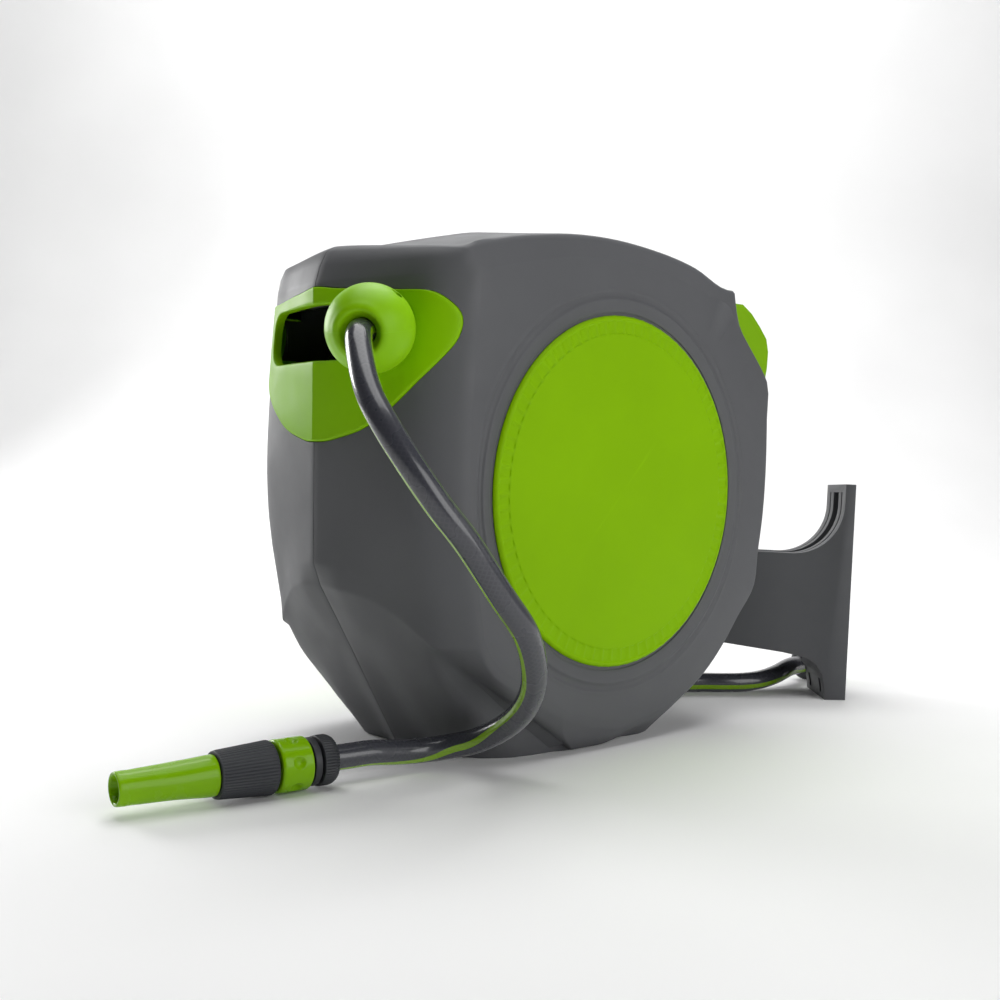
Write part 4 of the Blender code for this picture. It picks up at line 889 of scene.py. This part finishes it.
case_half(-1, "left_shell_skin", "left_shell")
case_half(1, "right_shell_skin", "right_shell")


RIBS = 76
COVER_Y, COVER_RIM_Y, COVER_BACK_Y = 0.10945, 0.10955, 0.1066


def cover_level(r, rib):
    """How far out the disc cover's face lies at radius r; rib goes from 0 between two ribs to 1 on one."""
    if 0.1157 < r < 0.1252:
        return 0.10860 + 0.00085 * rib
    if 0.1257 < r < 0.1265:
        return COVER_RIM_Y
    if r > 0.1265:
        return COVER_RIM_Y - 0.0022 * ((r - 0.1265) / 0.0028) ** 2
    return COVER_Y


def ribbed_disc(side, name, node):
    """Flat cover whose rim band carries fine radial ribs and a faintly scalloped edge."""
    per = 8
    count = RIBS * per
    hole = 0.0195 if side > 0 else 0.0010
    stations = [hole, 0.030, 0.060, 0.090, 0.1120, 0.1145, 0.1155, 0.1162, 0.1170, 0.1195, 0.1225, 0.1243,
                0.1250, 0.1258, 0.1272, 0.1284, 0.1290, 0.1293]
    angles = [2 * pi * k / count for k in range(count)]
    verts = []
    for r in stations:
        for k, a in enumerate(angles):
            phase = (k % per) / per
            rib = exp(-((min(phase, 1 - phase)) / 0.13) ** 2)
            y = cover_level(r, rib)
            if side < 0 and r < 0.1150:
                y += pad_height(r * cos(a), r * sin(a))
            rr = r - (0.00035 * (1 - rib) * 0.8 if r > 0.1280 else 0.0)
            verts.append(Vector((rr * cos(a), side * y, AXIS_Z + rr * sin(a))))
    for r in (0.1291, hole):
        verts += [Vector((r * cos(a), side * COVER_BACK_Y, AXIS_Z + r * sin(a))) for a in angles]
    rows = len(stations) + 2
    faces = closed_faces(rows, count) if side > 0 else tube_faces(rows, count)
    return piece(name, verts, faces, DISC_MAT, "case", [node], "green_plastic", sharp=50)


def pad_height(x, z):
    """A bare oval pad, barely raised from the cover."""
    d = sqrt(((x + 0.062) / 0.036) ** 2 + ((z + 0.002) / 0.0115) ** 2)
    return 0.00016 / (1 + exp((d - 1.0) * 26))


ribbed_disc(-1, "disc_left_skin", "disc_cover_left")
ribbed_disc(1, "disc_right_skin", "disc_cover_right")


SLOT_TOP, SLOT_FOOT = 0.3176, 0.2793


def slot_outline():
    corners = ((0.063, 0.3026, 90), (0.063, 0.2943, 0), (-0.066, 0.2943, -90), (-0.066, 0.3026, -180))
    pts = [(0.0, SLOT_TOP)]
    for y, z, start in corners:
        pts += arc(y, z, 0.0150, [start - 7.5 * k for k in range(13)])
    return pts


def slot_and_rim(count):
    """Matching points round the slot and the plate's rim, each with two of them on the middle line."""
    outer = spread_loop(plate_outline(0.0), count)
    slot = spread_loop(slot_outline(), count, straight=True)
    below = range(count // 3, 2 * count // 3)
    half = min(below, key=lambda i: abs(outer[i][0]))
    low = min(below, key=lambda i: abs(slot[i][0]))
    inner = [slot[round(i * low / half)] for i in range(half)]
    inner += [slot[min(count - 1, round(low + (i - half) * (count - low) / (count - half)))]
              for i in range(half, count)]
    inner[0] = (0.0, SLOT_TOP)
    inner[half] = (0.0, SLOT_FOOT)
    outer[0] = (0.0, outer[0][1])
    outer[half] = (0.0, outer[half][1])
    return inner, outer


def fairlead():
    """Green plate bowed with the case front, its slot edge and rim rounded, with a wall behind the slot."""
    count = 240
    inner, outer = slot_and_rim(count)

    def ring(share, move, depth):
        points = []
        for a, b in zip(map(Vector, inner), map(Vector, outer)):
            p = a.lerp(b, share) + (b - a).normalized() * move
            points.append(Vector((front_x(abs(p.x) * 1000, p.y * 1000) / 1000 + depth, p.x, p.y)))
        return points

    slot_edge = [(0.0, 0.0052), (0.0, 0.0012), (0.0, 0.0004), (0.0001, -0.0006), (0.0005, -0.0013),
                 (0.0013, -0.0017), (0.0024, -0.0018)]
    rim = [(-0.0020, -0.0018), (-0.0010, -0.0017), (-0.0004, -0.0013), (0.0, -0.0006), (0.0, 0.0032),
           (-0.0040, 0.0032)]
    rings = [ring(0.0, move, depth) for move, depth in slot_edge]
    rings += [ring(share, 0.0, -0.0018) for share in (0.2, 0.4, 0.6, 0.8)]
    rings += [ring(1.0, move, depth) for move, depth in rim]
    rings += [ring(0.0, 0.0024, 0.0032), ring(0.0, 0.0022, 0.0052)]
    plate = piece("fairlead_skin", sum(rings, []), closed_faces(len(rings), count), PLATE_MAT, sharp=42)
    for edge in plate.data.edges:
        a, b = [plate.data.vertices[v].co for v in edge.vertices]
        if abs(a.y) < 1e-6 and abs(b.y) < 1e-6:
            edge.use_edge_sharp = True
    lugs = []
    for side in (-1, 1):
        ends = sorted((side * 0.0840, side * 0.0885))
        for lo, hi in (((-0.1760, 0.2715), (-0.1565, 0.2845)), ((-0.1720, 0.3150), (-0.1525, 0.3232)),
                       ((-0.1655, 0.3160), (-0.1525, 0.3330))):
            lugs.append(block((lo[0], ends[0], lo[1]), (hi[0], ends[1], hi[1])))
    piece("fairlead_lugs", *joined(*lugs), PLATE_MAT, "case", slot="plate_green")
    dress(plate, "case", ["fairlead_plate"])


fairlead()


def roller(place, x, z):
    loop = round_profile([(0.0020, -0.0800), (0.0050, -0.0800), (0.0050, 0.0800), (0.0020, 0.0800)], 0.0006)
    piece(f"roller_{place}_skin", *lathe(loop, (x, 0, z), (0, 1, 0), 48), STEEL_MAT, f"{place}_roller",
          [f"guide_roller_{place}"], "steel")


roller("lower", -0.162, 0.278)
roller("upper", -0.158, 0.3265)


def ball_screw_at(side):
    return BALL + axes(BALL_AXIS)[0] * side * 0.0185


def stopper_ball():
    """Two halves round the hose, each a little under half a turn, with a dished mouth and two screw holes."""
    loop = [(0.0122, -0.0264)] + arc(0.0, 0.0, BALL_R, range(-64, 49, 4))
    loop += [(0.0187, 0.0228), (0.0170, 0.0243), (0.0155, 0.0249), (0.0143, 0.0249), (0.0133, 0.0243),
             (0.0124, 0.0228), (0.0114, 0.0211), (0.0102, 0.0199), (0.0093, 0.0190), (0.0090, 0.0178),
             (0.0090, 0.0130)]
    hole = [(0.0018, -0.014), (0.0018, 0.008), (0.0032, 0.008), (0.0032, 0.0300)]
    for half, start in (("top", 0.05), ("bottom", 180.05)):
        data = lathe(loop, BALL, BALL_AXIS, 64, 179.9, start)
        obj = piece(f"stopper_{half}_skin", *data, BALL_MAT, sharp=50)
        for side in (-1, 1):
            carve(obj, turned(hole, ball_screw_at(side), axes(BALL_AXIS)[1], 24), sharp=50)
        dress(obj, "free_end", [f"stopper_{half}"])


stopper_ball()


def screw(kind, tag, at, axis, head_h, length, body, r_head=0.0044, r_shank=0.0017):
    """Pan head screw with a cross recess and a threaded shank."""
    half_thread = 0.0009
    profile = [(r_shank * 0.4, head_h - length - 0.0002)]
    for k in range(int(length / half_thread)):
        profile.append((r_shank * (1.0 if k % 2 else 0.82), head_h - length + half_thread * k))
    profile += [(r_shank, head_h + 0.0003), (r_head, head_h + 0.0003), (r_head, head_h + 0.0014),
                (r_head * 0.93, head_h + 0.0021), (r_head * 0.78, head_h + 0.0027),
                (r_head * 0.5, head_h + 0.0031)]
    obj = piece(f"{kind}_screw_skin_{tag}", *turned(profile, at, axis, 24), STEEL_MAT, sharp=40)
    x, y, z = axes(axis)
    w, l = r_head * 0.10, r_head * 0.48
    for u, v in ((x, y), (y, x)):
        base = [Vector(at) + u * a + v * b for a, b in ((-l, -w), (l, -w), (l, w), (-l, w))]
        verts = [p + z * h for h in (head_h + 0.0014, head_h + 0.006) for p in base]
        carve(obj, (verts, tube_faces(2, 4)), sharp=40)
    dress(obj, body, [f"{kind}_screw_{tag}"])


def all_screws():
    for i, ((x, z), head) in enumerate(zip(CASE_SCREWS, SCREW_HEAD_Y)):
        screw("case", i + 1, (x, 0, z), (0, 1, 0), head, head + 0.0236, "case")
    for side, tag in ((-1, "left"), (1, "right")):
        screw("handle", tag, handle_screw_at(side), HANDLE_DIR, 0.012, 0.0211, "case")
    for side, tag in ((-1, "near"), (1, "far")):
        screw("stopper", tag, ball_screw_at(side), axes(BALL_AXIS)[1], 0.008, 0.0203, "free_end",
              0.0030, 0.0015)


all_screws()


def carry_handle():
    """Two legs and a grip bar moulded in one, with soft edges."""
    case_wall = [(0.1774, 0.2905), (0.1635, 0.3045), (0.1466, 0.3263), (0.1436, 0.3392), (0.1434, 0.345)]
    leg = [(0.1434, 0.3460), (0.1900, 0.3460), (0.2030, 0.3390), (0.2150, 0.3290), (0.2250, 0.3190),
           (0.2280, 0.3080), (0.2268, 0.2940), (0.2230, 0.2800), (0.2050, 0.2765), (0.1876, 0.2790)]
    leg += [(x + 0.0004, z) for x, z in case_wall]
    bar = [(0.2020, 0.3280), (0.2080, 0.3330), (0.2150, 0.3290), (0.2250, 0.3190), (0.2279, 0.3080),
           (0.2268, 0.2940), (0.2229, 0.2800), (0.2120, 0.2790), (0.2060, 0.2860), (0.2075, 0.3000),
           (0.2060, 0.3150)]
    handle = piece("carry_handle_skin", *prism(leg, xz, -0.0750, -0.0610), HANDLE_MAT)
    carve(handle, prism(leg, xz, 0.0610, 0.0750), "UNION")
    carve(handle, prism(bar, xz, -0.0625, 0.0625), "UNION")
    rounded(handle, 0.0022, 3, 28, 50)
    for side in (-1, 1):
        profile = [(0.0021, -0.010), (0.0021, 0.012), (0.0048, 0.012), (0.0048, 0.060)]
        carve(handle, turned(profile, handle_screw_at(side), HANDLE_DIR, 32), sharp=50)
    dress(handle, "case", ["carry_handle"])


carry_handle()


def in_bracket(data):
    """The same shape where the swung bracket stands."""
    turn = Matrix.Rotation(radians(-43.0), 4, "Z")
    tilt = Matrix.Rotation(HINGE_LEAN, 4, "Y")
    m = Matrix.Translation(hinge_point()) @ tilt @ turn @ Matrix.Translation((0, 0, -HINGE_Z))
    return [m @ Vector(v) for v in data[0]], data[1]


def wall_bracket():
    """Arm and wall plate in one, ribbed over the upper fillet, with rounded edges and slotted holes."""
    fillet = (0.084, 0.178)
    fillet_r = 0.045
    foot = [(0.000, 0.0530), (0.080, 0.0440), (0.100, 0.0405), (0.110, 0.0350), (0.1165, 0.0250),
            (0.1190, 0.0120), (0.1195, 0.0030)]
    side = foot + [(PLATE_BACK, 0.0030), (PLATE_BACK, 0.1970), (0.1290, 0.1970)]
    side += arc(*fillet, fillet_r, range(0, -91, -5)) + [(0.000, 0.1330)]
    body = piece("wall_bracket_skin", *in_bracket(prism(side, xz, -ARM_HALF, ARM_HALF)), BRACKET_MAT)
    knuckle = [(ARM_HALF - 0.0002, 0.0533), (ARM_HALF - 0.0002, 0.1327)]
    carve(body, in_bracket(turned(knuckle, (0, 0, 0), (0, 0, 1), 64)), "UNION")
    for y0, y1, deep, start in ((-0.0085, 0.0085, 0.0050, 0.030), (-0.0205, -0.0175, 0.0016, 0.034),
                                (0.0175, 0.0205, 0.0016, 0.034)):
        groove = [(0.129 + deep, 0.1900)] + arc(*fillet, fillet_r + deep, range(0, -91, -5))
        groove += [(start, 0.133 - deep), (start, 0.140)] + arc(*fillet, 0.038, range(-90, 1, 5))
        carve(body, in_bracket(prism(groove + [(0.122, 0.1900)], xz, y0, y1)))
    rounded(body, 0.0012, 3, 40, 45)
    cuts = [block((0.100, -0.0028, 0.1780), (0.150, 0.0028, 0.1880))]
    cuts += [block((0.100, y - 0.0028, 0.0090), (0.150, y + 0.0028, 0.0210)) for y in (-0.018, 0.018)]
    hollow = [(0.018, 0.0440), (0.018, 0.0600), (0.100, 0.0520), (0.112, 0.0460), (0.112, 0.0300)]
    cuts.append(prism(hollow, xz, -0.026, 0.026))
    cuts.append(turned([(0.0053, 0.030), (0.0053, 0.150)], (0, 0, 0), (0, 0, 1), 40))
    for cut in cuts:
        carve(body, in_bracket(cut), sharp=45)
    dress(body, "bracket", ["wall_bracket"])


wall_bracket()


def hinge_parts():
    """The upright with its two lugs, and the pin through them."""
    rear = [(0.1826, 0.1560), (0.1790, 0.1372), (0.1750, 0.1110), (0.1528, 0.0857), (0.1348, 0.0657),
            (0.1290, 0.0600)]
    spine = rear + [(0.1290, 0.0380), (0.1350, 0.0340), (0.1862, 0.0340), (0.1862, 0.1560)]
    hinge = piece("hinge_block_skin", *prism(spine, xz, -0.0200, 0.0200), CASE_MAT)
    lug_r = 0.0180
    for lo, hi in ((0.1370, 0.1480), (0.0340, 0.0480)):
        lug = arc(hinge_point((lo + hi) / 2).x, 0.0, lug_r, range(-90, 91, 5))
        lug += [(0.1845, lug_r), (0.1845, -lug_r)]
        carve(hinge, prism(lug, lambda u, v, w: Vector((u, v, w)), lo + 0.0002, hi - 0.0002), "UNION")
    rounded(hinge, 0.0010, 2, 40, 45)
    carve(hinge, turned([(0.0053, -0.080), (0.0053, 0.080)], hinge_point(), hinge_axis(), 40), sharp=45)
    dress(hinge, "case", ["hinge_block"])
    pin = [(0.0044, -0.0600), (0.0050, -0.0594), (0.0050, 0.0595), (0.0090, 0.0600), (0.0094, 0.0606),
           (0.0095, 0.0622), (0.0088, 0.0636), (0.0070, 0.0647), (0.0040, 0.0650)]
    pin_data = turned(pin, hinge_point(), hinge_axis(), 40)
    piece("hinge_pin_skin", *pin_data, STEEL_MAT, "case", ["hinge_pin"], "steel")


hinge_parts()


def flute(count, depth, lo, hi, power, least=0.0075):
    """Lengthwise ribs on a turned surface between two heights."""
    def shape(angle, r, h):
        if lo <= h <= hi and r > least:
            wave = 0.5 + 0.5 * cos(count * angle)
            r -= depth * (1 - wave ** power)
        return r, h
    return shape


def dimples(rows, radius, depth, least):
    """Round dimples pressed into a collar, six in a row around it, each with a faint raised lip."""
    step = 2 * pi / 6

    def shape(angle, r, h):
        if r > least:
            for centre_h, offset in rows:
                near = (angle - offset + step / 2) % step - step / 2
                d = sqrt((near * r) ** 2 + (h - centre_h) ** 2) / radius
                if d < 1.15:
                    r -= depth * (1 - d * d) if d < 0.8 else depth * 0.36 * max(0.0, (1.15 - d) / 0.35)
                    r += 0.00025 * exp(-((d - 1.0) / 0.12) ** 2)
        return r, h
    return shape


def with_points(points, step):
    """Add points along a closed profile so that a pattern has something to move."""
    out = []
    for a, b in zip(points, points[1:] + points[:1]):
        a, b = Vector(a), Vector(b)
        count = max(1, round((b - a).length / step))
        out += [tuple(a.lerp(b, k / count)) for k in range(count)]
    return out


def fitting(node, loop, at, axis, around, mat, body, slot, shape=None):
    """One turned piece of a connector or the nozzle."""
    piece(f"{node}_skin", *lathe(loop, at, axis, around, shape=shape), mat, body, [node], slot, sharp=50)


def connector(tag, start, axis, body, slide):
    """Ribbed nut, body and dimpled release collar of a quick connector."""
    nut = round_profile([(0.0090, 0.0096), (0.0118, 0.0096), (0.0148, 0.0108), (0.0164, 0.0140),
                         (0.0164, 0.0220), (0.0090, 0.0220)], 0.0009)
    fitting(f"{tag}_nut", with_points(nut, 0.0011), start, axis, 300, DARK_MAT, body, "dark_plastic",
            flute(50, 0.00055, 0.0100, 0.0215, 0.6))
    core = round_profile([(0.0055, 0.0236), (0.0156, 0.0236), (0.0156, 0.0284), (0.0084, 0.0284),
                          (0.0084, 0.0382), (0.0110, 0.0386), (0.0110, 0.0505), (0.0055, 0.0505)], 0.0006)
    fitting(f"{tag}_body", core, start, axis, 120, DARK_MAT, body, "dark_plastic")
    collar = round_profile([(0.0088, 0.0340), (0.0159, 0.0340), (0.0159, 0.0300), (0.0166, 0.0300),
                            (0.01715, 0.0308), (0.01715, 0.0500), (0.0162, 0.0515), (0.0114, 0.0515),
                            (0.0114, 0.0380), (0.0088, 0.0380)], 0.0009)
    fitting(f"{tag}_collar", with_points(collar, 0.0009), start, axis, 180, NOZZLE_MAT, slide,
            "green_plastic", dimples(((0.0405, 0.26), (0.0405, 0.26 + pi / 3)), 0.0043, 0.0010, 0.0162))


def nozzle():
    """Ribbed grip and the barrel, whose sides carry long soft facets."""
    connector("hose", NOZZLE_START, NOZZLE_AXIS, "free_end", "hose_collar_ring")
    grip = round_profile([(0.0123, 0.0535), (0.0165, 0.0535), (0.0174, 0.0550), (0.0152, 0.0890),
                          (0.0147, 0.0912), (0.0123, 0.0912)], 0.0006)
    fitting("nozzle_grip", with_points(grip, 0.0024), NOZZLE_START, NOZZLE_AXIS, 288, GRIP_MAT, "free_end",
            "dark_plastic", flute(48, 0.00055, 0.0542, 0.0905, 0.7))
    tip = [(0.0072, 0.0916), (0.0130, 0.0916), (0.0130, 0.0955), (0.0124, 0.1050), (0.0117, 0.1200),
           (0.0110, 0.1340), (0.0105, 0.1440), (0.0106, 0.1480), (0.0104, 0.1520), (0.0101, 0.1535),
           (0.0088, 0.1535), (0.0081, 0.1522), (0.0070, 0.1478), (0.0032, 0.1470), (0.0032, 0.1115),
           (0.0072, 0.1105)]

    def facets(angle, r, h):
        if 0.0955 < h < 0.142 and r > 0.009:
            share = (h - 0.0955) / 0.0465
            lens = max(0.0, sin(pi * share)) * max(0.0, cos(1.5 * (angle - 1.0)))
            r -= 0.00075 * lens * max(0.0, sin(pi * share)) * 0.6
        return r, h

    fitting("nozzle_tip", with_points(round_profile(tip, 0.0005, 2), 0.004), NOZZLE_START, NOZZLE_AXIS, 96,
            NOZZLE_MAT, "nozzle_barrel", "green_plastic", facets)


nozzle()
connector("supply", SUPPLY_END, SUPPLY_AXIS, "bracket", "supply_collar_ring")


def elbow_path():
    """Middle line of the elbow: out along the drum axis, round a quarter turn, and down."""
    bend = 0.0075
    path = [Vector((0, y, AXIS_Z)) for y in (0.1224, 0.1260)]
    for k in range(13):
        a = radians(90 * k / 12)
        path.append(Vector((0, ELBOW_Y - bend + bend * sin(a), AXIS_Z - bend + bend * cos(a))))
    return path + [Vector((0, ELBOW_Y, AXIS_Z - below)) for below in (0.0120, 0.0240, 0.0300)]


def inlet_parts():
    """The ribbed union nut, the elbow as a pipe with its bore, and the collar that holds the hose."""
    nut = round_profile([(0.0104, 0.1115), (0.0160, 0.1115), (0.0160, 0.1212), (0.0104, 0.1212)], 0.0006, 2)
    fitting("union_nut", with_points(nut, 0.002), (0, 0, AXIS_Z), (0, 1, 0), 240, DARK_MAT, "case",
            "dark_plastic", flute(24, 0.0006, 0.0, 1.0, 0.6, least=0.0150))
    path = elbow_path()
    steps = range(len(path))
    rows, around = [], 40
    x = Vector((1, 0, 0))
    for order, bore in ((steps, None), (steps[::-1], 0.0049)):
        for i in order:
            way = (path[min(i + 1, len(path) - 1)] - path[max(i - 1, 0)]).normalized()
            radius = bore or (0.0146 if i == 0 else 0.0105)
            rows += circle(path[i], x, way.cross(x), radius, around)
    piece("inlet_elbow_skin", rows, closed_faces(2 * len(path), around), DARK_MAT, "case", ["inlet_elbow"],
          "dark_plastic", sharp=45)
    collar = [(0.0106, 0.0170), (0.0112, 0.0170), (0.0112, 0.0298), (0.0106, 0.0298)]
    collar = with_points(round_profile(collar, 0.0002, 2), 0.003)
    collar_data = lathe(collar, (0, ELBOW_Y, AXIS_Z), (0, 0, -1), 120)
    piece("elbow_collar", *collar_data, DARK_MAT, "case", slot="dark_plastic")


inlet_parts()

# Carried-over CAD pieces and their finishes
CARRIED = {
    INNER_MAT: ["drum_core", "drum_flange_left", "drum_flange_right", "spring_cup", "spring_lid",
                "ratchet_ring", "pawl", "nozzle_stem"],
    STEEL_MAT: ["roller_pin_lower", "roller_pin_upper", "spring_arbor", "pawl_pin", "hinge_clip"],
    SPRING_MAT: ["mainspring", "pawl_spring"],
    BRASS_MAT: ["inlet_axle", "bush_left", "bush_right", "hub_outlet"],
    RUBBER_MAT: ["o_ring_inner", "o_ring_outer"],
}
for mat, names in CARRIED.items():
    for name in names:
        NODES[name].data.materials.clear()
        NODES[name].data.materials.append(mat)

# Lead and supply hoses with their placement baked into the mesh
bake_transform(lead)
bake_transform(supply)


# Floor, backdrop and lights
def studio():
    """A white floor that curves up into a backdrop, square to the camera."""
    mat = Mat("studio_white", 0.85)
    mat.colour(mat.mix(mat.ramp(mat.noise(3.0, 2.0), 0.3, 0.7), (0.86, 0.86, 0.86, 1), (0.90, 0.90, 0.90, 1)))
    front, back, bend, top = -2.6, 1.6, 0.9, 3.2
    profile = [(front, 0.0), (back, 0.0)]
    profile += [(back + bend * sin(radians(a)), bend - bend * cos(radians(a))) for a in range(6, 91, 6)]
    profile += [(back + bend, top)]
    away = Vector((cos(TURN), sin(TURN), 0))
    verts = []
    for u, z in profile:
        for w in (-4.0, 4.0):
            p = away * u + FLAT_RIGHT * w
            verts.append(Vector((p.x, p.y, z)))
    faces = [(2 * i, 2 * i + 1, 2 * i + 3, 2 * i + 2) for i in range(len(profile) - 1)]
    mesh = bpy.data.meshes.new("sweep")
    mesh.from_pydata([tuple(v) for v in verts], [], faces)
    mesh.materials.append(mat.mat)
    mesh.shade_smooth()
    floor = bpy.data.objects.new("sweep", mesh)
    bpy.context.scene.collection.objects.link(floor)


def light(name, at, target, power, size):
    data = bpy.data.lights.new(name, "AREA")
    data.energy = power
    data.shape = "RECTANGLE"
    data.size = size
    data.size_y = size
    obj = bpy.data.objects.new(name, data)
    bpy.context.scene.collection.objects.link(obj)
    obj.location = Vector(at)
    obj.rotation_euler = (Vector(target) - Vector(at)).to_track_quat("-Z", "Y").to_euler()


studio()
light("far_side", (-0.45, 2.15, 0.80), (-0.15, 0, 0.2), 28.5, 0.9)
light("side", (0.2, -2.3, 0.9), (0, 0, 0.2), 23.5, 1.6)
light("rear", (1.5, -1.5, 0.9), (0.1, 0, 0.2), 2.8, 1.2)
light("top", (0.0, 0.0, 2.2), (0, 0, 0.2), 30, 1.8)
light("back_wall", (1.0, 1.0, 2.6), (1.9, 2.0, 0.6), 51, 2.0)
world = bpy.data.worlds.new("studio")
world.use_nodes = True
world.node_tree.nodes["Background"].inputs["Color"].default_value = (1.0, 1.0, 1.0, 1.0)
world.node_tree.nodes["Background"].inputs["Strength"].default_value = 0.02
bpy.context.scene.world = world
